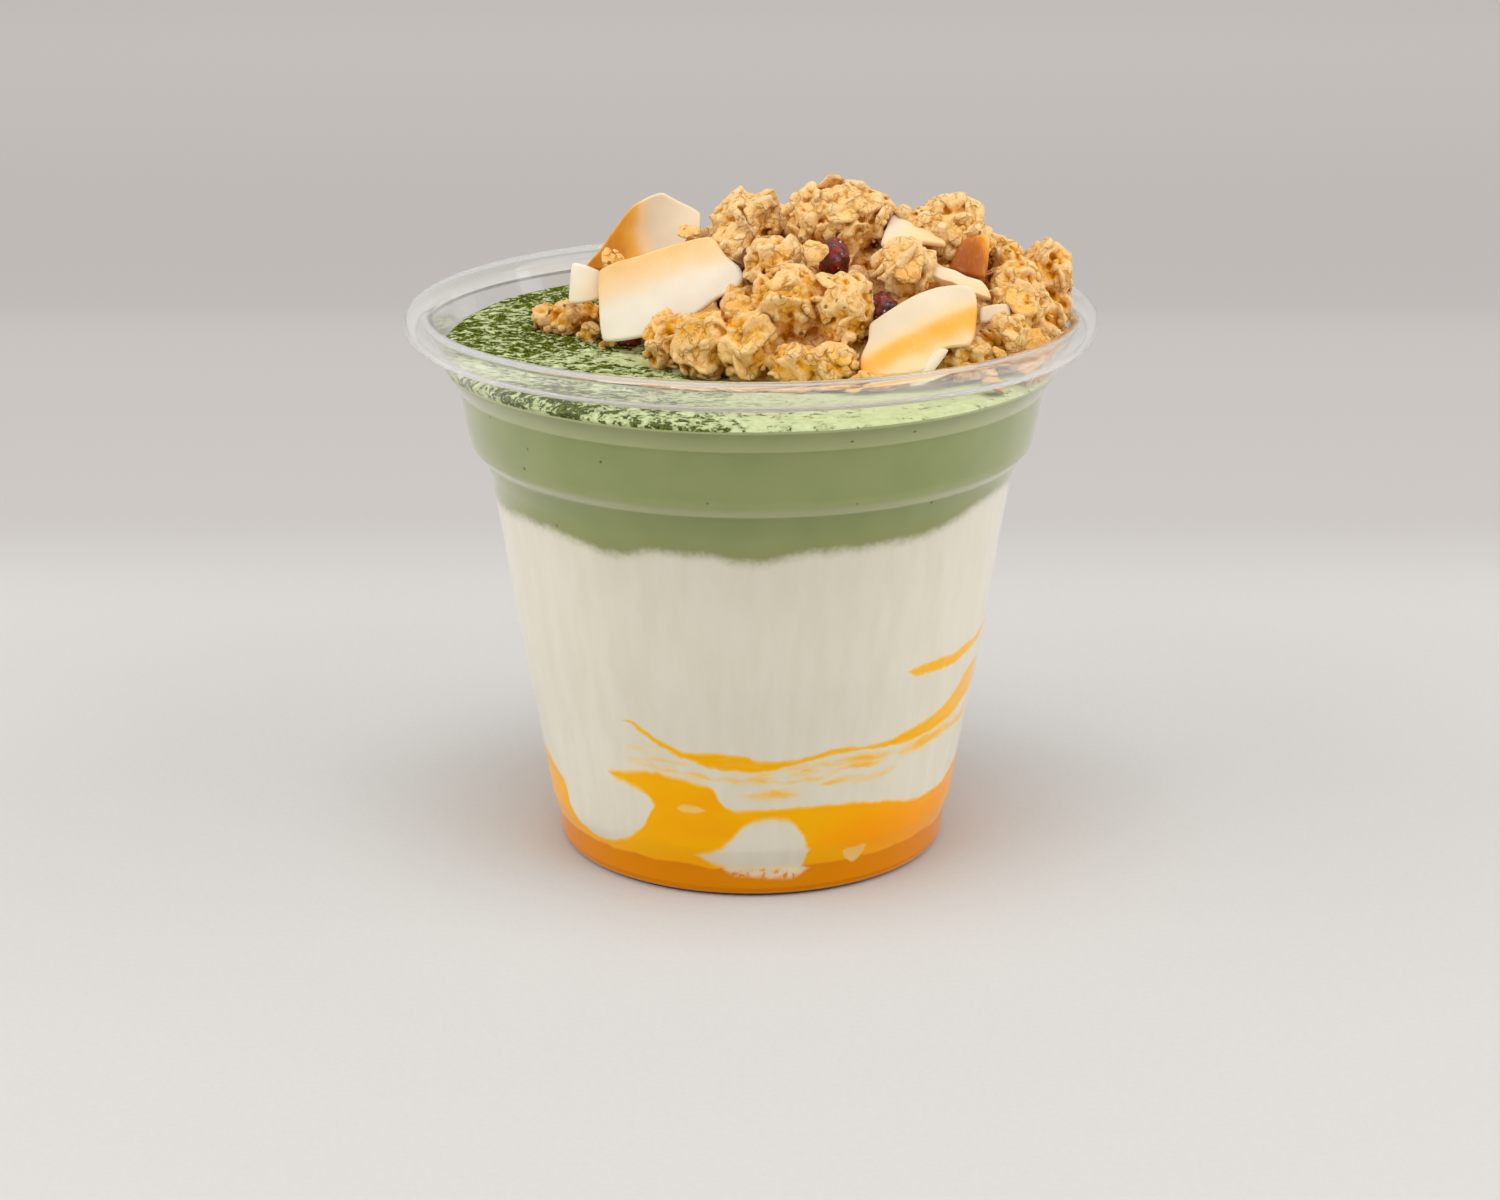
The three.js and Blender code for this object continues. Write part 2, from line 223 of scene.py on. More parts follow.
# Coconut chips: lower left, lower right, upper right and upper left corners, then the
# bow, and where the toasting starts, peaks and how strong it is there and past it.
CHIPS = (
    ((-20.3, -3, 71.7), (-0.8, -7, 79.9), (-5, -2, 86.3), (-20.7, 1, 81.1), 1.2,
     (0.5, 0.2), (0.45, 1), 0.46, 0.43),
    ((-22.5, 5, 80.1), (-9, 4, 81.6), (-6.8, 7, 87.7), (-14.2, 8, 90.4), -1.4,
     (0.45, 0.6), (0.1, 0.35), 0.84, 0.8),
    ((-25, 1, 76), (-20.2, 0.4, 77), (-20.2, 2, 80.4), (-24.6, 3, 81.6), 0.5,
     (0, 1), (1, 0), 0.22, 0.22),
    ((14.4, -23, 72.2), (28.4, -23, 75.8), (29.5, -18, 82.6), (15.3, -19, 78.5), 1.4,
     (0.48, 0.78), (0.66, 0.35), 0.66, 0.26),
    ((20.2, -25.6, 71.5), (22.4, -25.7, 71.7), (25.6, -25.2, 76), (23.7, -24, 75.6), 0.3,
     (0.4, 0), (0.4, 1), 0.15, 0.1),
    ((17.2, -7, 85.6), (26.4, -5.6, 85.3), (24.1, 1, 87.4), (19.2, 1, 88.8), 0.8,
     (0.2, 0.8), (0.9, 0), 0.4, 0.4),
    ((26.4, -7, 82.5), (31.4, -7, 81.1), (32, -5, 86.9), (28.2, -4.6, 86.1), 0.6,
     (1.3, 1), (0.7, 0.5), 1.25, 1.5),
    ((23.5, -12.6, 82.6), (30.9, -13.6, 79.7), (32.2, -10.6, 80.6), (23.8, -10.6, 84), 0.4,
     (0, 1), (1, 0), 0.35, 0.3),
    ((30.2, -16.4, 77.3), (34, -16, 77.7), (34.2, -14.6, 79.5), (30.2, -14.8, 79.2), 0.2,
     (0, 0), (1, 1), 0.12, 0.1),
)

# Outlines of the chips, as shares of the way from the left and from the lower edge.
EVEN_OUTLINE = (
    (0.02, 0.05), (0.5, -0.03), (0.97, 0.04), (1.03, 0.5), (0.97, 0.96),
    (0.5, 1.03), (0.03, 0.97), (-0.02, 0.5),
)
RAGGED_OUTLINE = (
    (0, 0.2), (0.2, 0.02), (0.4, 0.12), (0.62, -0.06), (0.85, 0.08), (1.05, 0.3), (0.96, 0.7),
    (0.8, 1.02), (0.55, 0.92), (0.35, 1.05), (0.1, 0.9), (-0.04, 0.6),
)
OUTLINES = {
    0: (
        (0.01, 0.02), (0.25, -0.14), (0.45, -0.17), (0.65, -0.13), (0.83, 0), (0.96, 0.05),
        (1.03, 0.2), (1.04, 0.4), (1, 0.62), (0.97, 0.98), (0.7, 1), (0.4, 0.99),
        (0.01, 0.97), (-0.01, 0.5),
    ),
    1: (
        (-0.03, 0), (-0.04, 0.25), (-0.06, 0.55), (-0.05, 0.8), (0.07, 0.97), (0.2, 1.06),
        (0.5, 1.05), (0.8, 1.03), (0.98, 0.96), (1.07, 0.6), (1, 0.1), (0.5, 0),
    )[::-1],
    3: (
        (-0.02, 0.1), (-0.03, 0.35), (0.02, 0.6), (0.02, 0.88), (0.1, 0.95), (0.4, 1.1),
        (0.62, 1.14), (0.83, 1.09), (0.97, 0.98), (1.02, 0.7), (1.03, 0.2), (0.98, 0.03),
        (0.78, 0.02), (0.62, -0.3), (0.4, -0.28), (0.08, -0.12),
    )[::-1],
    7: RAGGED_OUTLINE,
}
CHIP_TAN_AND_SHADE = (0.0, 0.7, 0.2, 0.7, 0.3, 0.45, 1.0, 0.5, 0.8)  # ivory to tan, partly the chips' own colour and partly painted shade on chips that lie in shade
CHIP_THICKNESS = 0.9
CHIP_EDGE = 0.45  # how far in from its rim a chip is rounded off

# Dried berries: centre, then size.
BERRIES = (
    ((10.9, -11.2, 85), (4.2, 4.6, 5.2)),
    ((0.4, -5, 83.6), (3.4, 4, 3.4)),
    ((17.2, -16, 79.2), (4.4, 4.4, 4.4)),
    ((-16.9, 0.2, 71.3), (3.6, 2.6, 2.4)),
)
CAD_BERRIES = 3  # how many of them the part has as nodes

# Marbling seen through the wall. Each band is a list of (azimuth, lower edge, upper edge)
# in degrees and millimetres; the base runs all the way round.
HIGHEST_MARBLE = 40.0  # the top of every marbling curve's range
WIDEST = 10.0  # the largest half height of a band
CREST_RANGE = (40.0, 60.0)  # the range of the curve between yogurt and cream
BASE_EDGE = (
    (-180, 12.5), (-150, 15.5), (-128, 17), (-110, 14.5), (-90, 12.2), (-78, 14.6), (-70, 13.4),
    (-64, 12), (-61, 7.6), (-57, 6.2), (-48.5, 5.4), (-39, 6.6), (-32, 9), (-26.4, 13.1),
    (-20, 15.5), (-15, 17), (-11, 16.7), (-8, 14.2), (-3, 13.5), (15.6, 13.8), (33.5, 13),
    (51, 11.1), (62, 11), (74, 12.6), (95, 15), (118, 16.4), (140, 12), (160, 10.5), (180, 12.5),
)
TONGUE = (
    (-40.5, 16.8, 16.6), (-39, 16.2, 17), (-34.5, 15.7, 17.5), (-29.6, 15, 18.1),
    (-26.4, 13, 18), (-20, 8, 17.8), (-14, 8, 17.3), (-10, 10, 16.4), (-7, 12, 13.5), (-4, 13, 12),
)
LOBE = (
    (-16, 6.4, 6), (-14, 6, 6.5), (-9, 5, 7.4), (-5, 4.4, 9.3), (-2, 4.4, 11.1), (2, 4.3, 12.1),
    (6, 4.2, 12.3), (10, 4, 11.8), (13, 3.9, 10.3), (15, 5.5, 8.4), (16.5, 7.4, 7),
)
PEACH_PATCHES = (
    ((26.6, 6.5, 6.1), (27.6, 5.6, 6.4), (30.6, 3.8, 6.4), (33.6, 5.8, 6.4), (34.6, 6.4, 6.1)),
    ((-20.5, 13.6, 13), (-18, 12.8, 13.9), (-14, 12.9, 13.9), (-12, 13.6, 13.1)),
)
SCRAPS = (
    (-10, 5.4, 3), (-7, 4.2, 4.4), (-4, 3.4, 5), (2, 3, 4.8), (8, 2.8, 4.8), (13, 3, 4.6),
    (16, 4, 4.2), (20, 5, 3),
)
STREAKS = (
    ((-33.5, 25.7, 25.5), (-30.6, 24.9, 25.5), (-25.5, 23.2, 24.1), (-18, 21.3, 22.2),
     (-10, 19.9, 22.1), (-3, 19.4, 21.9), (2, 19.5, 21.1), (9, 20.1, 21), (17, 21, 21.7),
     (24, 21.5, 22.2), (30, 21.5, 21.9), (36, 21, 21.8), (44, 21, 22.7), (55, 21.3, 23.8),
     (64, 22, 26), (70, 23, 28), (84, 24.6, 28), (100, 26, 27.6), (112, 27.5, 27.3)),
    ((40, 32.1, 31.7), (44, 30.9, 32.2), (50.6, 30.6, 32.2), (57, 30.4, 32), (64, 30.8, 32.4),
     (70, 31.2, 32.4), (80, 32.4, 33.8), (92, 33.6, 34.2), (98, 34.4, 34)),
    ((126, 20.4, 20), (136, 18.6, 20), (150, 18, 20.6), (168, 20.2, 21.2), (176, 21.4, 21)),
    ((-170, 26, 25.6), (-158, 23.6, 25), (-138, 21, 23.2), (-120, 19.6, 21.4), (-104, 19.6, 20.4),
     (-94, 20.4, 20.2)),
)
SOFT_BLOBS = (
    ((-4, 16.2, 15.6), (0, 15.5, 16.6), (8, 15.3, 17), (15, 15.7, 16.7), (19, 16.3, 15.9)),
    ((17, 17.4, 16.8), (24, 16.3, 18.8), (33, 16.5, 19.2), (42, 17.8, 17.4)),
    ((-12, 18.6, 17.6), (0, 17.4, 19.3), (20, 17.6, 20.6), (44, 18.4, 21.4), (70, 19.5, 22.6),
     (80, 21.6, 21)),
    ((-36, 20.6, 19.6), (-28, 18.6, 22.4), (-16, 17.8, 20.2), (-8, 18.6, 17.6)),
)

# ---- The stage ----

FLOOR_HALF = 20000.0
# The paper's colours: two that its grain mixes, a lighter one further off as painted light, a darker
# one behind the cup as painted shade, and the backdrop's lower and upper end, darker below as painted
# shade and lighter above as painted light.
PAPER = ((0.575, 0.566, 0.556), (0.59, 0.581, 0.571))
PAPER_FAR_PAINTED_LIGHT = (0.665, 0.65, 0.635)
PAPER_BEHIND_PAINTED_SHADE = (0.505, 0.486, 0.468)
BACKDROP = ((0.467, 0.447, 0.437), (0.61, 0.585, 0.565))
# Lights: name, place, size and power; they look at the middle of the cup.
LIGHTS = (
    ("light_left", (-900, -320, 560), (1200, 1000), 5.0),
    ("light_right", (900, -320, 560), (1200, 1000), 5.0),
    ("light_top", (0, -230, 1200), (700, 600), 5.2),
)
CUP_MIDDLE = (0, 0, 50)
ROOM = (1.0, 0.965, 0.935)
ROOM_STRENGTH = 0.65
SENSOR_WIDTH = 36.0


# ---- Helpers for shapes ----

def unit(vectors):
    """Vectors brought to a length of 1."""
    return vectors / np.linalg.norm(vectors, axis=1, keepdims=True)


def eased(share):
    """A share from 0 to 1, made to start and end slowly."""
    return share * share * (3 - 2 * share)


def polar(points):
    """Azimuth in radians, and distance from the cup's axis, of points."""
    return np.arctan2(points[:, 0], -points[:, 1]), np.hypot(points[:, 0], points[:, 1])


def offset(outline, distance):
    """An outline moved sideways, to the left of its own direction."""
    points = np.asarray(outline, float)
    steps = np.diff(points, axis=0)
    left = unit(np.stack([-steps[:, 1], steps[:, 0]], 1))
    first = np.vstack([left[:1], left])
    last = np.vstack([left, left[-1:]])
    mean = unit(first + last)
    moved = points + mean * (distance / (mean * first).sum(1, keepdims=True))
    moved[:, 0] = np.maximum(moved[:, 0], 0)
    return moved


def rounded(outline, reach, steps=5):
    """An outline with its corners turned into small curves that start within reach."""
    points = [np.array(p, float) for p in outline]
    made = [points[0]]
    for before, corner, after in zip(points, points[1:], points[2:]):
        back = before - corner
        ahead = after - corner
        start = corner + back * min(0.45, reach / np.linalg.norm(back))
        end = corner + ahead * min(0.45, reach / np.linalg.norm(ahead))
        for t in np.linspace(0, 1, steps):
            made.append((1 - t) ** 2 * start + 2 * t * (1 - t) * corner + t * t * end)
    made.append(points[-1])
    return np.array(made)


def lip_outline(steps=28):
    """The lip: the sheet goes up, over and down on the outside."""
    angles = np.pi * (1 - 1.5 * np.linspace(0, 1, steps))
    across = LIP_RADIUS + LIP_ROLL * np.cos(angles)
    up = LIP_HEIGHT + LIP_ROLL * np.sin(angles)
    return np.stack([across, up], 1)


def cup_outline():
    """The cup's outside with its corners rounded, from the axis to the lip's end."""
    return np.vstack([rounded(CUP_OUTSIDE, CORNER_REACH), lip_outline()])


def sweep(radii, heights):
    """Turns an outline round Z. radii and heights hold a row for each outline point
    and a column for each azimuth; the first and last points lie on the axis."""
    rows, columns = radii.shape
    azimuth = np.arange(columns) * (2 * np.pi / columns)
    x = radii[1:-1] * np.sin(azimuth)
    y = -radii[1:-1] * np.cos(azimuth)
    ring = np.stack([x, y, heights[1:-1]], 2).reshape(-1, 3)
    vertices = np.vstack([ring, [[0, 0, heights[0, 0]], [0, 0, heights[-1, 0]]]])
    bottom, top = len(ring), len(ring) + 1
    here = np.arange((rows - 2) * columns).reshape(rows - 2, columns)
    right = np.roll(here, -1, axis=1)
    quads = np.stack([here[:-1], right[:-1], right[1:], here[1:]], 2).reshape(-1, 4)
    faces = quads.tolist()
    faces += [[bottom, right[0, i], here[0, i]] for i in range(columns)]
    faces += [[top, here[-1, i], right[-1, i]] for i in range(columns)]
    return vertices, faces


def value_noise(points, size, seed):
    """Smooth noise from -1 to 1 at each point, with features of about the given size."""
    grid = np.asarray(points, float) / size + 1000.0
    cell = np.floor(grid).astype(np.int64)
    part = eased(grid - cell)
    total = np.zeros(len(grid))
    for corner in range(8):
        shift = np.array([corner & 1, corner >> 1 & 1, corner >> 2 & 1])
        weight = np.prod(np.where(shift, part, 1 - part), axis=1)
        total += weight * lattice_value(cell + shift, seed)
    return 2 * total - 1


def lattice_value(cell, seed):
    """A repeatable number from 0 to 1 for each whole-number cell."""
    mixed = cell[:, 0] * 374761393 + cell[:, 1] * 668265263 + cell[:, 2] * 2246822519
    mixed = (mixed + seed * 3266489917) & 0xFFFFFFFF
    mixed = ((mixed ^ (mixed >> 15)) * 2246822519) & 0xFFFFFFFF
    mixed = ((mixed ^ (mixed >> 13)) * 3266489917) & 0xFFFFFFFF
    return (mixed ^ (mixed >> 16)) / 0xFFFFFFFF


def fractal_noise(points, size, octaves, seed):
    """Layers of finer and fainter noise added together."""
    total = np.zeros(len(points))
    for level in range(octaves):
        total += value_noise(points, size / 2 ** level, seed + level) / 2 ** level
    return total


def mesh_from(name, vertices, faces):
    """A mesh in metres from vertices in millimetres."""
    mesh = bpy.data.meshes.new(name)
    mesh.from_pydata((np.asarray(vertices) * MM).tolist(), [], faces)
    mesh.update()
    return mesh


def add_piece(name, mesh, material, replaced=(), sharp=None):
    """Puts a mesh in the scene as a piece of the part. Edges that turn by more than sharp
    degrees stay crisp."""
    piece = bpy.data.objects.new(name, mesh)
    bpy.context.scene.collection.objects.link(piece)
    mesh.materials.append(material)
    mesh.shade_smooth()
    if sharp is not None:
        mesh.set_sharp_from_angle(angle=math.radians(sharp))
    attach(piece, "root")
    if replaced:
        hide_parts(*replaced)
    return piece


def read_vectors(vertices, name):
    """A vector that each vertex holds, such as its co or its normal, as rows."""
    flat = np.empty(len(vertices) * 3)
    vertices.foreach_get(name, flat)
    return flat.reshape(-1, 3)


def set_numbers(mesh, **numbers):
    """Stores numbers for each vertex under their names, for a shader to read."""
    for name, values in numbers.items():
        attribute = mesh.attributes.new(name, "FLOAT", "POINT")
        attribute.data.foreach_set("value", np.asarray(values, np.float32))


# ---- Shader maths ----

class Value:
    """The output of a shader node, with Python's own operators for its maths."""

    def __init__(self, look, socket):
        self.look = look
        self.socket = socket

    def math(self, operation, *others):
        """A Math node on this value and any others."""
        return self.look.node("Math", {"operation": operation}, dict(enumerate((self, *others))))

    def __add__(self, other):
        return self.math("ADD", other)

    def __sub__(self, other):
        return self.math("SUBTRACT", other)

    def __mul__(self, other):
        return self.math("MULTIPLY", other)

    def __truediv__(self, other):
        return self.math("DIVIDE", other)

    def __rsub__(self, other):
        return self.look.node("Math", {"operation": "SUBTRACT"}, {0: other, 1: self})

    __radd__ = __add__
    __rmul__ = __mul__

    def smooth(self, low, high):
        """Rises smoothly from 0 at low to 1 at high."""
        return self.look.node(
            "MapRange", {"interpolation_type": "SMOOTHSTEP"},
            {"Value": self, "From Min": low, "From Max": high},
        )


class Look:
    """A material in the making, with the one method that adds nodes to it."""

    def __init__(self, name):
        self.material = bpy.data.materials.new(name)
        self.material.use_nodes = True
        self.tree = self.material.node_tree
        self.tree.nodes.clear()
        self.output = self.tree.nodes.new("ShaderNodeOutputMaterial")

    def node(self, kind, settings, inputs, output=0):
        """Adds a node: its settings come first, then the values or links of its sockets."""
        made = self.tree.nodes.new("ShaderNode" + kind)
        for name, setting in settings.items():
            if name == "points":
                set_points(made.mapping, setting)
            else:
                setattr(made, name, setting)
        for name, value in inputs.items():
            if isinstance(value, Value):
                self.tree.links.new(value.socket, made.inputs[name])
            else:
                made.inputs[name].default_value = value
        return Value(self, made.outputs[output])

    def position(self):
        """The point on the surface, in millimetres."""
        point = self.node("TexCoord", {}, {}, "Object")
        return self.node("VectorMath", {"operation": "SCALE"}, {0: point, "Scale": 1 / MM})

    def axes(self, vector):
        """The three numbers of a vector."""
        return [self.node("SeparateXYZ", {}, {0: vector}, axis) for axis in "XYZ"]

    def vector(self, x, y, z):
        """A vector of three numbers."""
        return self.node("CombineXYZ", {}, {"X": x, "Y": y, "Z": z})

    def noise(self, vector, size, detail=2.0, rough=0.5, distortion=0.0):
        """Noise from 0 to 1 with features of about the given size in millimetres."""
        return self.node("TexNoise", {}, {
            "Vector": vector, "Scale": 1 / size, "Detail": detail,
            "Roughness": rough, "Distortion": distortion,
        })

    def specks(self, vector, scale):
        """How far each point is from the nearest of scattered ones, in scaled units."""
        return self.node("TexVoronoi", {"feature": "F1"}, {"Vector": vector, "Scale": scale})

    def attribute(self, name):
        """A number stored on the mesh."""
        return self.node("Attribute", {"attribute_name": name}, {}, "Fac")

    def mix(self, factor, first, second):
        """A colour between two others."""
        return self.node(
            "Mix", {"data_type": "RGBA"}, {0: factor, 6: colour(first), 7: colour(second)}, 2,
        )

    def bump(self, height, distance, strength=1.0):
        """A bent normal from a height from 0 to 1 that stands for a distance in millimetres."""
        return self.node(
            "Bump", {}, {"Height": height, "Distance": distance * MM, "Strength": strength})

    def principled(self, **inputs):
        """A Principled shader; an underscore in a name stands for a space."""
        named = {name.replace("_", " "): value for name, value in inputs.items()}
        if "Base Color" in named:
            named["Base Color"] = colour(named["Base Color"])
        return self.node("BsdfPrincipled", {}, named)

    def finish(self, shader):
        """Sends a shader to the output and gives the material back."""
        self.tree.links.new(shader.socket, self.output.inputs["Surface"])
        return self.material


def colour(value):
    """A colour with its alpha; a linked value stays as it is."""
    if isinstance(value, Value) or len(value) == 4:
        return value
    return (*value, 1.0)


def set_points(mapping, points):
    """Sets a curve's points, which run from 0 to 1 both ways."""
    curve = mapping.curves[0]
    while len(curve.points) < len(points):
        curve.points.new(0.5, 0.5)
    for point, (place, height) in zip(curve.points, points):
        point.location = (place, height)
        point.handle_type = "AUTO_CLAMPED"
    mapping.update()


# ---- Settings ----

def length_setting(name, description, millimetres):
    """A length that a user can change."""
    return FloatProperty(
        name=name, description=description, default=millimetres * MM, unit="LENGTH")


def colour_setting(name, description, *default):
    """A colour that a user can change."""
    return FloatVectorProperty(
        name=name, description=description, default=default, size=3, subtype="COLOR")


class CupSettings(bpy.types.PropertyGroup):
    """Sizes and finish of the clear cup."""

    sheet: length_setting("Sheet", "Thickness of the plastic sheet", 0.5)
    reach: length_setting("Reach", "How far the filling reaches into the sheet", 0.1)
    tint: colour_setting("Tint", "Colour that the plastic gives to light", 0.97, 0.975, 0.97)


class LayerSettings(bpy.types.PropertyGroup):
    """Colours of the three layers and of the powder."""

    puree: colour_setting("Puree", "Colour of thick fruit puree", 0.93, 0.34, 0.0003)
    thin_puree: colour_setting(
        "Thin puree", "Colour of puree where it is brightest", 0.93, 0.46, 0.0005)
    # Painted shade: the puree behind the base's ring is darkened, where the ring shades it.
    puree_foot_shade: colour_setting(
        "Puree at the foot", "Colour of the puree behind the base's ring", 0.68, 0.22, 0.0002)
    fringe: colour_setting("Fringe", "Colour where puree fades into yogurt", 0.86, 0.59, 0.2)
    yogurt: colour_setting("Yogurt", "Colour of the yogurt", 0.74, 0.7, 0.59)
    yogurt_shade: colour_setting(
        "Yogurt shade", "A slightly darker colour of the yogurt", 0.71, 0.665, 0.55)
    cream: colour_setting("Cream", "Colour of the matcha cream", 0.3, 0.335, 0.15)
    cream_deep: colour_setting(
        "Deep cream", "A slightly darker colour of the cream", 0.275, 0.315, 0.135)
    cream_edge: colour_setting(
        "Cream's edge", "Colour of the cream by the yogurt", 0.28, 0.29, 0.12)
    ledge: colour_setting(
        "Ledge", "Colour of the cream where a ledge of the cup lights it", 0.52, 0.55, 0.28)
    mint: colour_setting("Mint", "Colour of the cream's open surface", 0.62, 0.68, 0.37)
    mint_shade: colour_setting(
        "Mint shade", "A slightly darker colour of that surface", 0.54, 0.61, 0.31)
    dust: colour_setting("Dust", "Colour of cream under a dusting of powder", 0.4, 0.49, 0.075)
    powder: colour_setting("Powder", "Colour of thick green powder", 0.038, 0.052, 0.0015)
    powder_light: colour_setting(
        "Light powder", "Colour of powder where it is loose", 0.15, 0.19, 0.012)


class ToppingSettings(bpy.types.PropertyGroup):
    """Sizes and colours of granola, coconut and berries."""

    grain: length_setting("Grain", "Fineness of the granola's surface", 0.37)
    seed: IntProperty(
        name="Seed", description="Chooses one arrangement of the small pieces", default=11)
    oat: colour_setting("Oat", "Colour of baked oats", 0.96, 0.5, 0.06)
    oat_dark: colour_setting("Dark oat", "Colour of well baked oats", 0.84, 0.38, 0.015)
    # Pale oat is partly the crumbs' own colour and partly a painted highlight on raised edges, the
    # outer parts of clusters and the heap's top.
    oat_pale_and_highlight: colour_setting("Pale oat", "Colour of raised edges", 0.99, 0.74, 0.42)
    # Crust is partly the baked folds' own colour and partly painted shade in hollows, deep in
    # clusters and where the heap hides a point; crevice is painted shade where most is hidden, and
    # the colour of dark seeds.
    crust: colour_setting("Crust", "Colour of small folds", 0.56, 0.18, 0.001)
    crevice_shade_and_specks: colour_setting("Crevice", "Colour of deep folds", 0.1, 0.009, 0.001)
    coconut: colour_setting("Coconut", "Colour of dried coconut", 0.84, 0.78, 0.65)
    # Painted shade in part: chips that lie in shade take this tan all over.
    coconut_tan_and_shade: colour_setting(
        "Tan coconut", "Colour of dried coconut that has darkened all over", 0.74, 0.58, 0.38)
    coconut_peach: colour_setting("Peach coconut", "Colour where toasting starts", 0.88, 0.62, 0.33)
    coconut_gold: colour_setting("Golden coconut", "Colour of toasted coconut", 0.86, 0.44, 0.06)
    coconut_toasted: colour_setting(
        "Toasted coconut", "Colour of well toasted coconut", 0.7, 0.24, 0.008)
    coconut_burnt: colour_setting(
        "Burnt coconut", "Colour of coconut toasted to amber", 0.38, 0.09, 0.002)
    berry: colour_setting("Berry", "Colour of the berries", 0.26, 0.009, 0.004)
    berry_dark: colour_setting("Dark berry", "Colour of the berries' folds", 0.06, 0.002, 0.0015)
    sugar: colour_setting("Sugar", "Colour of the grains on the berries", 0.85, 0.7, 0.6)


class StageSettings(bpy.types.PropertyGroup):
    """The camera and the light."""

    lens: FloatProperty(
        name="Lens", description="Focal length of the camera", default=77.19, unit="CAMERA")
    distance: length_setting(
        "Distance", "How far the camera stands in front of the cup", 431.1)
    height: length_setting("Height", "Height of the camera", 172.2)
    pitch: FloatProperty(
        name="Pitch", description="How far the camera looks down",
        default=math.radians(17.786), unit="ROTATION")
    aside: length_setting("Aside", "How far the camera stands to the right", -0.19)


# ---- Stage ----

def floor_look():
    """Pale matt paper, and the backdrop past it, with painted light and shade: lighter further off
    and further back along the backdrop, darker behind the cup.
    """
    look = Look("pale_floor")
    point = look.position()
    grain = look.noise(point, 0.8, 3.0)
    tint = look.mix(grain.smooth(0.3, 0.7), *PAPER)
    away = look.node("VectorMath", {"operation": "LENGTH"}, {0: point}, 1)
    # Painted light: the paper grows lighter away from the cup.
    tint = look.mix(away.smooth(60, 420), tint, PAPER_FAR_PAINTED_LIGHT)
    behind = look.axes(point)[1]
    # Painted shade: darker behind the cup and at the backdrop's lower end, with painted light towards
    # its far end.
    tint = look.mix(behind.smooth(95, 165), tint, PAPER_BEHIND_PAINTED_SHADE)
    backdrop = look.mix(behind.smooth(345, 900), *BACKDROP)
    tint = look.mix(behind.smooth(308, 350), tint, backdrop)
    return look.finish(look.principled(Base_Color=tint, Roughness=0.85, Specular_IOR_Level=0.2))


def add_light(name, place, size, power):
    """A rectangular light that looks at the middle of the cup."""
    data = bpy.data.lights.new(name, "AREA")
    data.shape = "RECTANGLE"
    data.size = size[0] * MM
    data.size_y = size[1] * MM
    data.energy = power
    light = bpy.data.objects.new(name, data)
    light.location = Vector(place) * MM
    away = (Vector(place) - Vector(CUP_MIDDLE)).normalized()
    light.rotation_mode = "QUATERNION"
    light.rotation_quaternion = away.to_track_quat("Z", "Y")
    bpy.context.scene.collection.objects.link(light)


def add_world():
    """Even light from all round."""
    world = bpy.data.worlds.new("soft_room")
    world.use_nodes = True
    background = world.node_tree.nodes["Background"]
    background.inputs["Color"].default_value = colour(ROOM)
    background.inputs["Strength"].default_value = ROOM_STRENGTH
    bpy.context.scene.world = world


class PARFAIT_OT_stage(bpy.types.Operator):
    """Adds the floor, the lights and the camera"""

    bl_idname = "parfait.stage"
    bl_label = "Stage"

    def execute(self, context):
        settings = context.scene.parfait_stage
        signs = ((-1, -1), (1, -1), (1, 1), (-1, 1))
        corners = [(x * FLOOR_HALF, y * FLOOR_HALF, 0) for x, y in signs]
        mesh = mesh_from("floor", corners, [[0, 1, 2, 3]])
        mesh.materials.append(floor_look())
        floor = bpy.data.objects.new("floor", mesh)
        context.scene.collection.objects.link(floor)

        for light in LIGHTS:
            add_light(*light)
        add_world()

        data = bpy.data.cameras.new("camera")
        data.lens = settings.lens
        data.sensor_width = SENSOR_WIDTH
        camera = bpy.data.objects.new("camera", data)
        camera.location = (settings.aside, -settings.distance, settings.height)
        camera.rotation_euler = (math.pi / 2 - settings.pitch, 0, 0)
        context.scene.collection.objects.link(camera)
        context.scene.camera = camera
        context.scene.view_settings.view_transform = "Standard"
        return {"FINISHED"}


# ---- Cup ----

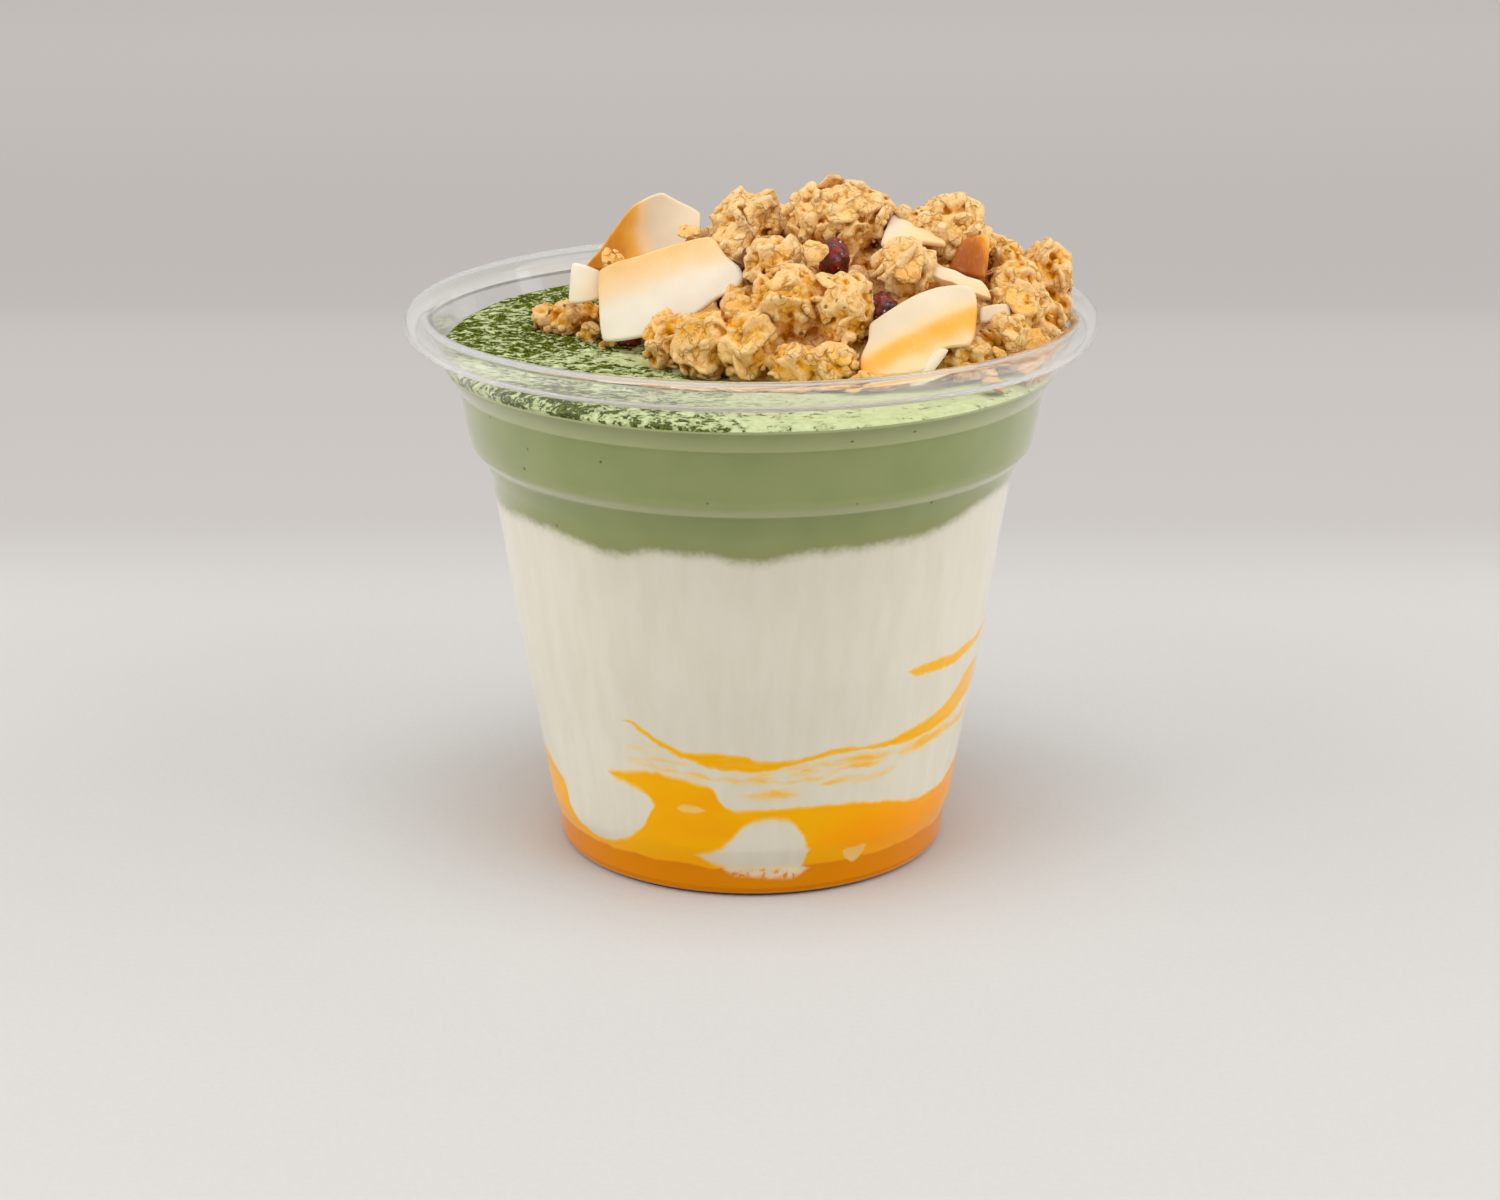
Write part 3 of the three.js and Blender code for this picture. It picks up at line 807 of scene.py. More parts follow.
def clear_look(tint):
    """Clear plastic that lets light through to what it holds, with a little milky haze and a painted
    sheen: white mixed in towards its edges and on the outer face of its rolled lip, standing in for
    reflections.
    """
    look = Look("clear_plastic")
    point = look.position()
    x, y, height = look.axes(point)
    waves = look.noise(point, 9.0, 1.0)
    ripple = look.bump(waves, 0.05, 0.4)
    empty, filled = (
        look.principled(
            Base_Color=tint, Roughness=0.04, IOR=ior, Transmission_Weight=1.0, Normal=ripple)
        for ior in (EMPTY_IOR, FILLED_IOR)
    )
    behind = height.smooth(CREAM_LEVEL + 0.4, CREAM_LEVEL - 0.8)
    plastic = look.node("MixShader", {}, {0: behind, 1: empty, 2: filled})
    open_air = look.node("BsdfTransparent", {}, {"Color": colour(SHADE)})
    milk_and_sheen = look.principled(Base_Color=MILKY_SHEEN, Roughness=0.25)
    edge = look.node("LayerWeight", {}, {"Blend": 0.25}, "Facing").smooth(0.12, 0.85)
    out = (x * x + y * y).math("SQRT")
    outer_face = out.smooth(LIP_RADIUS - 0.2, LIP_RADIUS + 1.0)
    outer_face = outer_face * height.smooth(LIP_HEIGHT + 1.2, LIP_HEIGHT + 0.3)
    # Painted highlight and reflection: white on the lip's outer face, faintly up towards the lip,
    # and, through edge, more where the sheet is seen edge-on; a little of it is the sheet's own haze.
    haze = outer_face * 0.06 + height.smooth(70.5, 74.0) * 0.03
    edge_sheen = height.smooth(12, 50) * height.smooth(72, 69) * 0.28 + 0.1
    haze = haze + edge * edge_sheen
    plastic = look.node("MixShader", {}, {0: haze, 1: plastic, 2: milk_and_sheen})
    shadow = look.node("LightPath", {}, {}, "Is Shadow Ray")
    return look.finish(look.node("MixShader", {}, {0: shadow, 1: plastic, 2: open_air}))


class PARFAIT_OT_cup(bpy.types.Operator):
    """Adds the clear cup with its rolled lip and steps"""

    bl_idname = "parfait.cup"
    bl_label = "Cup"

    def execute(self, context):
        settings = context.scene.parfait_cup
        outside = cup_outline()
        inside = offset(outside, settings.sheet / MM)
        outline = np.vstack([outside, inside[::-1]])
        radii = np.repeat(outline[:, :1], CUP_SIDES, axis=1)
        heights = np.repeat(outline[:, 1:], CUP_SIDES, axis=1)
        mesh = mesh_from("clear_cup", *sweep(radii, heights))
        add_piece("clear_cup", mesh, clear_look(settings.tint), ["cup"])
        return {"FINISHED"}


# ---- Layers ----

def bump_height(bumps, azimuth):
    """Height added by bumps of (azimuth, height, half width), in degrees and millimetres."""
    total = np.zeros_like(azimuth)
    for centre, height, half_width in bumps:
        away = (np.degrees(azimuth) - centre + 180) % 360 - 180
        total += height * np.exp(-((away / half_width) ** 2))
    return total


def fullness(radius):
    """How full the bumps are: 1 by the wall, 0 in the middle of the cup."""
    return np.minimum(radius / BUMP_RADIUS, 1) ** 2


def puree_top(azimuth, radius):
    """Height of the edge between puree and yogurt."""
    return PUREE_LEVEL + bump_height(PUREE_BUMPS, azimuth) * fullness(radius)


def yogurt_top(azimuth, radius):
    """Height of the edge between yogurt and matcha cream."""
    return YOGURT_LEVEL + bump_height(YOGURT_BUMPS, azimuth) * fullness(radius)


def cream_top(azimuth, radius):
    """Height of the cream's open surface, without its fine relief."""
    out = radius / LIP_RADIUS
    tilt = 0.5 - 0.5 * np.cos(azimuth - math.radians(CREAM_LOW_SIDE))
    return CREAM_LEVEL + CREAM_RISE * tilt * out + 0.15 * np.sin(3 * azimuth + 5 * out)


class Inside:
    """The space that the filling takes up in the cup, a little way into the sheet."""

    def __init__(self, sheet, reach):
        outline = offset(rounded(CUP_OUTSIDE, CORNER_REACH), (sheet - reach) / MM)
        turn = int(np.argmax(outline[:, 0] > FLOOR_EDGE))
        self.base = outline[:turn]
        self.side = outline[turn:]

    def floor(self, _azimuth, radius):
        """Height of the cup's floor."""
        return np.interp(radius, self.base[:, 0], self.base[:, 1])

    def wall(self, height):
        """Radius of the wall at a height."""
        return np.interp(height, self.side[:, 1], self.side[:, 0])


def layer_mesh(name, inside, lower, upper, sides, rings, rows):
    """A layer between two height functions, out to the cup's wall. rings holds the
    number of rings across its underside and across its top."""
    azimuth = np.arange(sides) * (2 * np.pi / sides)
    foot = np.maximum(lower(azimuth, WALL_RADIUS), HEEL_HEIGHT)
    head = upper(azimuth, WALL_RADIUS)
    share = np.linspace(0, 1, rows)[:, None]
    wall_z = foot + (head - foot) * share
    wall_r = inside.wall(wall_z)
    under_r = (1 - np.linspace(1, 0, rings[0]) ** 2)[:, None] * wall_r[0]
    over_r = (1 - np.linspace(0, 1, rings[1]) ** 1.25)[:, None] * wall_r[-1]
    under_z = lower(np.broadcast_to(azimuth, under_r.shape), under_r)
    over_z = upper(np.broadcast_to(azimuth, over_r.shape), over_r)
    radii = np.vstack([under_r[:-1], wall_r, over_r[1:]])
    heights = np.vstack([under_z[:-1], wall_z, over_z[1:]])
    return mesh_from(name, *sweep(radii, heights))


def round_cup(look, point):
    """Azimuth in degrees from the front, and height, of a point in millimetres."""
    x, y, z = look.axes(point)
    azimuth = x.math("ARCTAN2", y * -1.0) * math.degrees(1)
    return azimuth, z


def curve_of(look, azimuth, places, low, high):
    """A value that follows (azimuth, value) places round the cup."""
    points = [((a + 180) / 360, (v - low) / (high - low)) for a, v in places]
    share = azimuth / 360 + 0.5
    return look.node("FloatCurve", {"points": points}, {"Value": share}) * (high - low) + low


def below(look, azimuth, height, edge, soft):
    """1 below an edge and 0 above it."""
    top = curve_of(look, azimuth, edge, 0, HIGHEST_MARBLE)
    return (top - height).smooth(-soft, soft)


def in_band(look, azimuth, height, band, soft):
    """1 inside a band and 0 outside it."""
    middle = curve_of(look, azimuth, [(a, (l + u) / 2) for a, l, u in band], 0, HIGHEST_MARBLE)
    half = curve_of(look, azimuth, [(a, (u - l) / 2) for a, l, u in band], -WIDEST, WIDEST)
    away = (height - middle).math("ABSOLUTE")
    return (half - away).smooth(-soft, soft)


def marbled(look, settings):
    """The colour that the wall shows: puree marbled into yogurt, and the cream above."""
    point = look.position()
    azimuth, height = round_cup(look, point)
    sway = look.noise(point, 3.2, 2.0) - 0.5
    fray = look.noise(point, 0.9, 3.0, 0.6) - 0.5
    azimuth = azimuth + sway * 3.0
    level = height
    height = height + sway * 0.7 + fray * 0.6

    def band(places, soft):
        """1 inside a band of the marbling and 0 outside it."""
        return in_band(look, azimuth, height, places, soft)

    wisps = look.noise(look.vector(azimuth / 9, height, 0.0), 0.8, 3.0)
    strength = 0.88 + (wisps - 0.5) * 0.6
    cloud = look.noise(look.vector(azimuth / 7, height, 3.0), 1.6, 3.0).smooth(0.3, 0.75)
    puree = below(look, azimuth, height, BASE_EDGE, soft=0.6)
    puree = puree.math("MAXIMUM", band(TONGUE, soft=0.75))
    for streak in STREAKS:
        puree = puree.math("MAXIMUM", band(streak, soft=0.42) * strength)
    for blob in SOFT_BLOBS:
        puree = puree.math("MAXIMUM", band(blob, soft=0.9) * cloud * 0.72)
    puree = puree * (1.0 - band(LOBE, soft=0.9) * 0.97)

    depth = look.noise(look.vector(azimuth / 12, height / 1.4, 7.0), 2.4, 3.0)
    thick = (depth.smooth(0.3, 0.7) * 0.5 + azimuth.smooth(8, 40) * 0.6) * height.smooth(24, 14)
    deep = look.mix(thick, settings.thin_puree, settings.puree)
    # Painted shade: darker puree below the base's ring.
    deep = look.mix((level + sway * 1.4).smooth(4.8, 4.3), deep, settings.puree_foot_shade)
    haze = look.noise(look.vector(azimuth / 5, height / 14, 1.0), 0.9, 3.0)
    yogurt = look.mix(haze.smooth(0.3, 0.7), settings.yogurt, settings.yogurt_shade)
    tint = look.mix(puree.smooth(0.0, 0.55), yogurt, settings.fringe)
    tint = look.mix(puree.smooth(0.3, 0.95), tint, deep)
    crumbled = look.noise(point, 1.0, 3.0, 0.7).smooth(0.34, 0.48)
    scraps = band(SCRAPS, soft=0.5) * crumbled
    tint = look.mix(scraps * 0.8, tint, look.mix(0.25, settings.yogurt, settings.fringe))
    for patch in PEACH_PATCHES:
        tint = look.mix(band(patch, soft=0.25) * 0.8, tint, settings.fringe)

    crest = yogurt_edge(look, azimuth)
    green = (height - crest + fray * 0.6).smooth(-2.1, 0.5)
    cream = green_cream(look, point, height - crest, settings)
    return look.mix(green * green, tint, cream), point


def yogurt_edge(look, azimuth):
    """Height of the edge between yogurt and cream, as the meshes have it."""
    edge = [(a, YOGURT_LEVEL + float(bump_height(YOGURT_BUMPS, np.radians([a]))[0]))
            for a in range(-180, 181, 10)]
    return curve_of(look, azimuth, edge, *CREST_RANGE)


def green_cream(look, point, above_edge, settings):
    """Matcha cream: a little more olive by its lower edge, with dark specks."""
    cloud = look.noise(point, 6.0, 2.0)
    green = look.mix(cloud.smooth(0.3, 0.7), settings.cream, settings.cream_deep)
    green = look.mix(above_edge.smooth(2.2, 0.2) * 0.6, green, settings.cream_edge)
    green = look.mix(ledge_light(look.axes(point)[2]), green, settings.ledge)
    speck = look.specks(point, 0.28)
    chosen = look.noise(point, 3.0, 0.0).smooth(0.5, 0.6)
    spot = speck.smooth(0.085, 0.05) * chosen * 0.7
    return look.mix(spot, green, settings.powder)


def ledge_light(height):
    """How much light each of the cup's ledges lends to the cream: it grows downwards and
    ends at the ledge's lower edge, and a thin line lies over the upper ledge."""
    total = 0.0
    for top, bottom in LEDGES:
        lit = height.smooth(top, bottom) * height.smooth(bottom - 0.25, bottom)
        total = lit * LEDGE_LIGHT + total
    low, high = BRIGHT_LINE
    line = height.smooth(low, low + 0.15) * height.smooth(high, high - 0.15)
    return line * LINE_LIGHT + total


def layer_look(name, settings):
    """Puree or yogurt: smooth and moist."""
    look = Look(name)
    tint, point = marbled(look, settings)
    gloss = look.noise(point, 2.0, 2.0)
    return look.finish(look.principled(
        Base_Color=tint, Roughness=gloss * 0.15 + 0.35, Specular_IOR_Level=0.02,
        Normal=look.bump(look.noise(point, 1.4, 2.0), 0.04),
    ))


def cream_look(settings):
    """Matcha cream with powder on its open surface."""
    look = Look("matcha_cream")
    wall, point = marbled(look, settings)
    cover = look.attribute("powder")
    open_top = look.attribute("open_top")
    x, y, z = look.axes(point)
    lying = look.vector(x * 0.75 + y * 0.3, y * 1.1 - x * 0.3, z)
    clump = look.noise(lying, 1.15, 3.0, 0.6, 0.4)
    fine = look.noise(point, 0.45, 2.0, 0.6)
    coarse = look.noise(point, 1.3, 2.0)
    level = cover + (clump - 0.5) * 2.4 + (fine - 0.5) * 1.0
    mint = look.mix(coarse.smooth(0.35, 0.65), settings.mint, settings.mint_shade)
    green = look.mix(fine.smooth(0.4, 0.65), settings.powder, settings.powder_light)
    thick = level.smooth(0.48, 0.6)
    dusted = look.mix(level.smooth(0.25, 0.55) * 0.3, mint, settings.dust)
    dusted = look.mix(thick, dusted, green)
    tint = look.mix(open_top, wall, dusted)
    rough = thick * open_top * 0.4 + 0.45
    relief = level.smooth(0.2, 1.0) + fine * 0.4
    return look.finish(look.principled(
        Base_Color=tint, Roughness=rough, Specular_IOR_Level=0.01,
        Normal=look.bump(relief * open_top, 0.5, 1.0),
    ))


def powder_cover(points):
    """How much powder lies at each point of the cream, from 0 to 1: most of it on the
    left and at the back, less to the front right, in patches by the front wall."""
    azimuth, radius = polar(points)
    azimuth = np.degrees(azimuth)
    reach = np.interp(azimuth, *zip(*POWDER))
    in_front = (azimuth > PATCH_STRETCH[0]) * (azimuth < PATCH_STRETCH[1])
    by_wall = np.clip((radius - PATCH_RADIUS) / 2.0, 0, 1) * in_front
    patches = fractal_noise(points, 6.0, 2, 31) * 0.12
    patches = patches + by_wall * (fractal_noise(points, 3.8, 2, 38) * 0.28 - 0.07)
    away = (points[:, :2] - BARE_CENTRE) / BARE_HALF
    bare = np.exp(-(away ** 2).sum(1))
    return np.clip(reach + patches - 0.5 * bare, 0, 1)


def cream_relief(points, cover):
    """How far the powder and the ripples stand up from the cream, in millimetres."""
    flat = points * (1, 1, 0)
    turn = np.array([[0.82, -0.57, 0], [0.57, 0.82, 0], [0, 0, 1]])
    ripples = fractal_noise(flat @ turn, 1.2, 2, 7)
    return 0.3 * cover * (1 + ripples) + 0.12 * fractal_noise(flat, 2.4, 2, 12)


def cream_mesh(inside):
    """The cream layer, with the powder's relief on its open surface."""
    mesh = layer_mesh(
        "matcha_layer", inside, yogurt_top, cream_top, CREAM_SIDES, rings=(8, 110), rows=34)
    points = read_vectors(mesh.vertices, "co") / MM
    azimuth, radius = polar(points)
    surface = cream_top(azimuth, radius)
    open_top = points[:, 2] > surface - 0.02
    cover = powder_cover(points)
    from_wall = np.maximum(inside.wall(surface) - radius, 0)
    full_drop = (surface - CREAM_AT_WALL) * np.clip(0.5 + 0.9 * np.cos(azimuth), 0, 1)
    rise = cream_relief(points, cover) * (1 - np.exp(-from_wall / RELIEF_REACH))
    height = points[:, 2]
    lowered = height + rise - full_drop * np.exp(-from_wall / DROP_REACH)
    points[:, 2] = np.where(open_top, lowered, np.minimum(height, surface - full_drop))
    room = np.minimum(1, inside.wall(points[:, 2]) / np.maximum(radius, 1e-6))
    points[:, :2] *= room[:, None]
    mesh.vertices.foreach_set("co", (points * MM).ravel())
    mesh.update()
    above_ring = np.clip((points[:, 2] - CREAM_AT_WALL - 0.05) / 0.15, 0, 1)
    set_numbers(mesh, powder=cover, open_top=np.maximum(open_top, above_ring))
    return mesh


class PARFAIT_OT_layers(bpy.types.Operator):
    """Adds the puree, the yogurt and the matcha cream"""

    bl_idname = "parfait.layers"
    bl_label = "Layers"

    def execute(self, context):
        cup = context.scene.parfait_cup
        settings = context.scene.parfait_layers
        inside = Inside(cup.sheet, cup.reach)
        puree = layer_mesh(
            "puree_layer", inside, inside.floor, puree_top, LAYER_SIDES, rings=(26, 8), rows=52)
        yogurt = layer_mesh(
            "yogurt_layer", inside, puree_top, yogurt_top, LAYER_SIDES, rings=(6, 8), rows=76)
        cream = cream_mesh(inside)
        for name, mesh, material, slot in (
            ("puree_layer", puree, layer_look("fruit_puree", settings), "fruit_puree"),
            ("yogurt_layer", yogurt, layer_look("yogurt", settings), "yogurt"),
            ("matcha_layer", cream, cream_look(settings), "matcha_cream"),
        ):
            add_piece(name, mesh, material, [slot], sharp=45)
        return {"FINISHED"}


# ---- Granola ----

def unit_ball(subdivisions):
    """The points and faces of a round ball of radius 1."""
    shape = bmesh.new()
    bmesh.ops.create_icosphere(shape, subdivisions=subdivisions, radius=1)
    points = np.array([v.co for v in shape.verts])
    faces = np.array([[v.index for v in f.verts] for f in shape.faces])
    shape.free()
    return points, faces


def turned_frames(normals, spin):
    """For each normal, three axes with the third along it and the others turned by spin."""
    normals = unit(normals)
    helper = np.where(np.abs(normals[:, 2:]) < 0.9, (0, 0, 1), (1, 0, 0))
    first = unit(np.cross(helper, normals))
    second = np.cross(normals, first)
    along = first * np.cos(spin)[:, None] + second * np.sin(spin)[:, None]
    return np.stack([along, np.cross(normals, along), normals], 2)


def many(shapes, faces):
    """Joins equal shapes, one after the other, into one list of points and of faces."""
    count, size = shapes.shape[:2]
    shifted = faces[None] + (np.arange(count) * size)[:, None, None]
    return shapes.reshape(-1, 3), shifted.reshape(-1, faces.shape[1])


def joined(shapes):
    """One list of points and one of faces from several."""
    points = []
    faces = []
    start = 0
    for some_points, some_faces in shapes:
        points.append(some_points)
        faces.append(some_faces + start)
        start += len(some_points)
    return np.vstack(points), np.vstack(faces)


def oat_flakes(rng, ball, centres, normals, lengths):
    """Bent, creased oval flakes, one for each centre."""
    count = len(centres)

    def pick(low, high):
        """A random number for each flake."""
        return rng.uniform(low, high, (count, 1))

    x, y, z = (ball[None, :, axis] for axis in range(3))
    turn = np.arctan2(y, x)
    edge = 1
    for waves, most in ((2, 0.14), (3, 0.13), (5, 0.09)):
        edge = edge + pick(0, most) * np.sin(waves * turn + pick(0, ANY_TURN))
    edge = edge + pick(0, 0.06) * np.sin(8 * turn)
    length = lengths[:, None] / 2
    width = length * pick(0.68, 0.95)
    thick = pick(0.38, 0.72) * np.minimum(1, length / 2.2)
    across_x = x * edge * length
    across_y = y * edge * width
    up = np.sign(z) * np.maximum(1 - (x * x + y * y) ** 1.7, 0) ** 0.4 * thick
    up = up + pick(-0.1, 0.2) * across_x ** 2 / length + pick(-0.1, 0.25) * across_y ** 2 / width
    up = up + pick(-0.2, 0.2) * across_x * across_y / length
    up = up - pick(0.1, 0.4) * np.exp(-((across_y / width / 0.16) ** 2)) * (z > 0) * (1 - x * x)
    shapes = np.stack([across_x, across_y, up], 2)
    frames = turned_frames(normals, rng.uniform(0, ANY_TURN, count))
    placed = np.einsum("nij,nkj->nki", frames, shapes) + centres[:, None]
    flat = placed.reshape(-1, 3)
    rough = 0.24 * fractal_noise(flat, 1.5, 3, 17)
    flat = flat + np.repeat(normals, len(ball), axis=0) * rough[:, None]
    return flat.reshape(placed.shape)


def crumbs(rng, ball, centres, sizes):
    """Small lumps, each squashed its own way."""
    count = len(centres)
    scale = rng.uniform(0.7, 1.2, (count, 1, 3)) * sizes[:, None, None] / 2
    frames = turned_frames(rng.normal(size=(count, 3)), rng.uniform(0, ANY_TURN, count))
    uneven = 1 + 0.16 * np.sin(5 * ball[None] + rng.uniform(0, 6, (count, 1, 3)))
    lumps = ball[None] * scale * uneven
    return np.einsum("nij,nkj->nki", frames, lumps) + centres[:, None]


def spread_directions(rng, count):
    """Directions spread evenly over a ball, with some disorder."""
    step = np.arange(count) + 0.5
    up = 1 - 2 * step / count
    turn = step * np.pi * GOLDEN_SHARE + rng.uniform(0, ANY_TURN)
    flat = np.sqrt(1 - up * up)
    even = np.stack([flat * np.cos(turn), flat * np.sin(turn), up], 1)
    return unit(even + rng.normal(0, 0.16, (count, 3)))


def shell(rng, centre, half, count, low, high):
    """Points spread over an oval shell, with the directions out of it."""
    out = spread_directions(rng, count)
    return centre + out * half * rng.uniform(low, high, (count, 1)), unit(out / half)


def mound_top(x, y):
    """Height of the heap's even top over the cream."""
    away = np.abs((x - HEAP_CENTRE[0]) / HEAP_HALF[0]) ** HEAP_SQUARENESS
    away = away + np.abs((y - HEAP_CENTRE[1]) / HEAP_HALF[1]) ** HEAP_SQUARENESS
    return CREAM_LEVEL + HEAP_HEIGHT * np.maximum(1 - away, 0) ** 0.7


def fill_clusters(rng, low, sizes, sunk):
    """Clusters spread over the heap, behind Y = low and clear of what is listed.
    Their centres lie a share of their height, and sunk more, under the mound's top, and
    they stay under the skyline."""
    placed = [at for at, _ in CLUSTERS] + [np.mean(chip[:4], axis=0) for chip in CHIPS]
    placed = np.array(placed)
    made = []
    for index in range(FILL_PLACES):
        out = math.sqrt((index + 0.5) / FILL_PLACES) * 0.97
        turn = index * math.pi * GOLDEN_SHARE
        x = HEAP_CENTRE[0] + HEAP_HALF[0] * out * math.cos(turn)
        y = HEAP_CENTRE[1] + HEAP_HALF[1] * out * math.sin(turn)
        size = rng.uniform(*sizes, 3)
        z = float(mound_top(x, y)) - size[2] * 0.42 - sunk
        sky = float(np.interp(x, *zip(*SKYLINE))) - FALL_TO_BACK * max(y, 0) - UNDER_SKYLINE
        z = max(min(z, sky - size[2] / 2), CREAM_LEVEL + size[2] * 0.25)
        clear = np.linalg.norm(placed - (x, y, z), axis=1).min()
        if clear > CLEAR_OF_PLACED and math.hypot(x, y) < FILL_RADIUS and y > low:
            made.append((np.array((x, y, z)), size))
    return made


def mound_core(sunk):
    """The heap's plain inside, a low dome under the clusters."""
    ball, faces = unit_ball(5)
    spread = np.hypot(ball[:, 0], ball[:, 1])
    scale = np.where(spread > 1e-6, np.minimum(1, spread ** 0.8 / np.maximum(spread, 1e-6)), 1)
    x = HEAP_CENTRE[0] + ball[:, 0] * scale * (HEAP_HALF[0] - 4)
    y = HEAP_CENTRE[1] + ball[:, 1] * scale * (HEAP_HALF[1] - 4)
    top = mound_top(x, y) - sunk
    bottom = CREAM_LEVEL - 1.0
    z = np.where(ball[:, 2] > 0, np.maximum(top, bottom + 0.2), bottom)
    return np.stack([x, y, z], 1), faces


def remeshed(points, faces, voxel):
    """One skin round overlapping shapes, with even faces of about the voxel's size."""
    mesh = bpy.data.meshes.new("rough")
    mesh.from_pydata(points.tolist(), [], faces.tolist())
    rough = bpy.data.objects.new("rough", mesh)
    bpy.context.scene.collection.objects.link(rough)
    modifier = rough.modifiers.new("skin", "REMESH")
    modifier.mode = "VOXEL"
    modifier.voxel_size = voxel
    skin = rough.evaluated_get(bpy.context.evaluated_depsgraph_get()).to_mesh()
    made = read_vectors(skin.vertices, "co")
    corners = np.empty(len(skin.loops), np.int64)
    skin.loops.foreach_get("vertex_index", corners)
    rough.evaluated_get(bpy.context.evaluated_depsgraph_get()).to_mesh_clear()
    bpy.data.objects.remove(rough)
    bpy.data.meshes.remove(mesh)
    return made, corners.reshape(-1, 4)


def face_edges(quads):
    """Each edge of a quad mesh, as pairs of point numbers, once for each way."""
    pairs = np.vstack([np.stack([quads[:, i], quads[:, (i + 1) % 4]], 1) for i in range(4)])
    return np.vstack([pairs, pairs[:, ::-1]])


def smoothed(points, pairs, times, share=0.5):
    """Points moved towards the middle of their neighbours, several times over."""
    count = np.maximum(np.bincount(pairs[:, 0], minlength=len(points)), 1)
    for _ in range(times):
        ahead = points[pairs[:, 1]]
        mean = [np.bincount(pairs[:, 0], ahead[:, axis], len(points)) / count for axis in range(3)]
        points = points * (1 - share) + np.stack(mean, 1) * share
    return points


def point_normals(points, quads):
    """Outward directions at the points of a quad mesh."""
    one = points[quads[:, 2]] - points[quads[:, 0]]
    two = points[quads[:, 3]] - points[quads[:, 1]]
    face = np.cross(one, two)
    total = np.zeros_like(points)
    for corner in range(4):
        for axis in range(3):
            total[:, axis] += np.bincount(quads[:, corner], face[:, axis], len(points))
    return total / np.maximum(np.linalg.norm(total, axis=1, keepdims=True), 1e-9)


def kept_inside(points, inside):
    """Points moved back where they would touch the cup or stand above the part's box."""
    radius = np.hypot(points[:, 0], points[:, 1])
    wall = inside.wall(points[:, 2])
    room = np.where(points[:, 2] < LIP_HEIGHT, wall, LIP_RADIUS - LIP_ROLL) - 0.5
    points = points.copy()
    points[:, :2] *= np.minimum(1, room / np.maximum(radius, 1e-6))[:, None]
    points[:, 2] = np.minimum(points[:, 2], CAD_BOX[1][2] / MM - 0.02)
    return points


class Solid:
    """The toppings as a grid of full and empty cells, to tell how hidden a point is."""

    CELL = 0.8
    LOW = np.array((-36.0, -36.0, 64.0))
    HIGH = np.array((50.0, 44.0, 98.0))
    REACHES = (1.2, 2.2, 3.4, 5.0, 7.0)

    def __init__(self, lumps):
        steps = [np.arange(a, b, self.CELL) + self.CELL / 2 for a, b in zip(self.LOW, self.HIGH)]
        x, y, z = np.meshgrid(*steps, indexing="ij")
        self.full = z < np.maximum(mound_top(x, y) - 9, CREAM_LEVEL)
        for centre, size, _ in lumps:
            away = [(axis - at) / (length / 2) for axis, at, length in zip((x, y, z), centre, size)]
            self.full |= away[0] ** 2 + away[1] ** 2 + away[2] ** 2 < 0.72
        u, v = np.meshgrid(np.linspace(0.05, 0.95, 24), np.linspace(0.05, 0.95, 24))
        for chip in CHIPS:
            points = bilinear(np.array(chip[:4], float), u, v).reshape(-1, 3)
            self.full[self.cells(points)] = True

    def cells(self, points):
        """The grid's cell for each point, ready for use as an index."""
        index = ((points - self.LOW) / self.CELL).astype(int)
        return tuple(np.clip(index, 0, np.array(self.full.shape) - 1).T)

    def hidden(self, points, normals):
        """The share of the directions out of each point that something close by blocks."""
        start = points + normals * 0.7
        blocked_weight = np.zeros(len(points))
        whole_weight = np.zeros(len(points))
        for step in np.ndindex(3, 3, 3):
            direction = np.array(step) - 1.0
            length = np.linalg.norm(direction)
            if length == 0:
                continue
            direction /= length
            weight = np.maximum(normals @ direction, 0)
            blocked = np.zeros(len(points), bool)
            for reach in self.REACHES:
                blocked |= self.full[self.cells(start + direction * reach)]
            blocked_weight += weight * blocked
            whole_weight += weight
        return blocked_weight / whole_weight


def bilinear(corners, u, v):
    """Points on the patch between four corners, at shares across and up."""
    u, v = u[..., None], v[..., None]
    low = (1 - u) * corners[0] + u * corners[1]
    high = u * corners[2] + (1 - u) * corners[3]
    return (1 - v) * low + v * high


def depth_below(points, lumps):
    """How deep each point lies in its cluster, as a share of the way to the middle:
    0 on the cluster's oval, less outside it."""
    least = np.full(len(points), np.inf)
    for centre, size, _ in lumps:
        away = np.linalg.norm((points - centre) / (np.array(size) / 2), axis=1)
        least = np.minimum(least, away)
    return 1 - least


def nearest_tint(points, centres, tints):
    """For each point, the tint of the nearest centre."""
    tree = KDTree(len(centres))
    for index, centre in enumerate(centres):
        tree.insert(centre, index)
    tree.balance()
    return tints[np.array([tree.find(point)[1] for point in points])]


def crust_mesh(name, shapes, lumps, centres, tints, voxel, inside, solid):
    """One crusted skin round overlapping shapes, with numbers for its shader: the tint of
    the nearest flake, how hollow the surface is and how hidden."""
    points, quads = remeshed(*joined(shapes), voxel)
    pairs = face_edges(quads)
    points = smoothed(points, pairs, 1)
    normals = point_normals(points, quads)
    crust = fractal_noise(points, 1.7, 3, len(shapes))
    points = kept_inside(points + normals * (crust * 0.2)[:, None], inside)
    smooth = smoothed(points, pairs, 5)
    hollow = ((smooth - points) * normals).sum(1) / 0.12
    mesh = mesh_from(name, points, quads.tolist())
    set_numbers(
        mesh, tint=nearest_tint(points, centres, tints), hollow=hollow,
        hidden=solid.hidden(points, point_normals(smooth, quads)),
        depth=depth_below(points, lumps),
    )
    return mesh


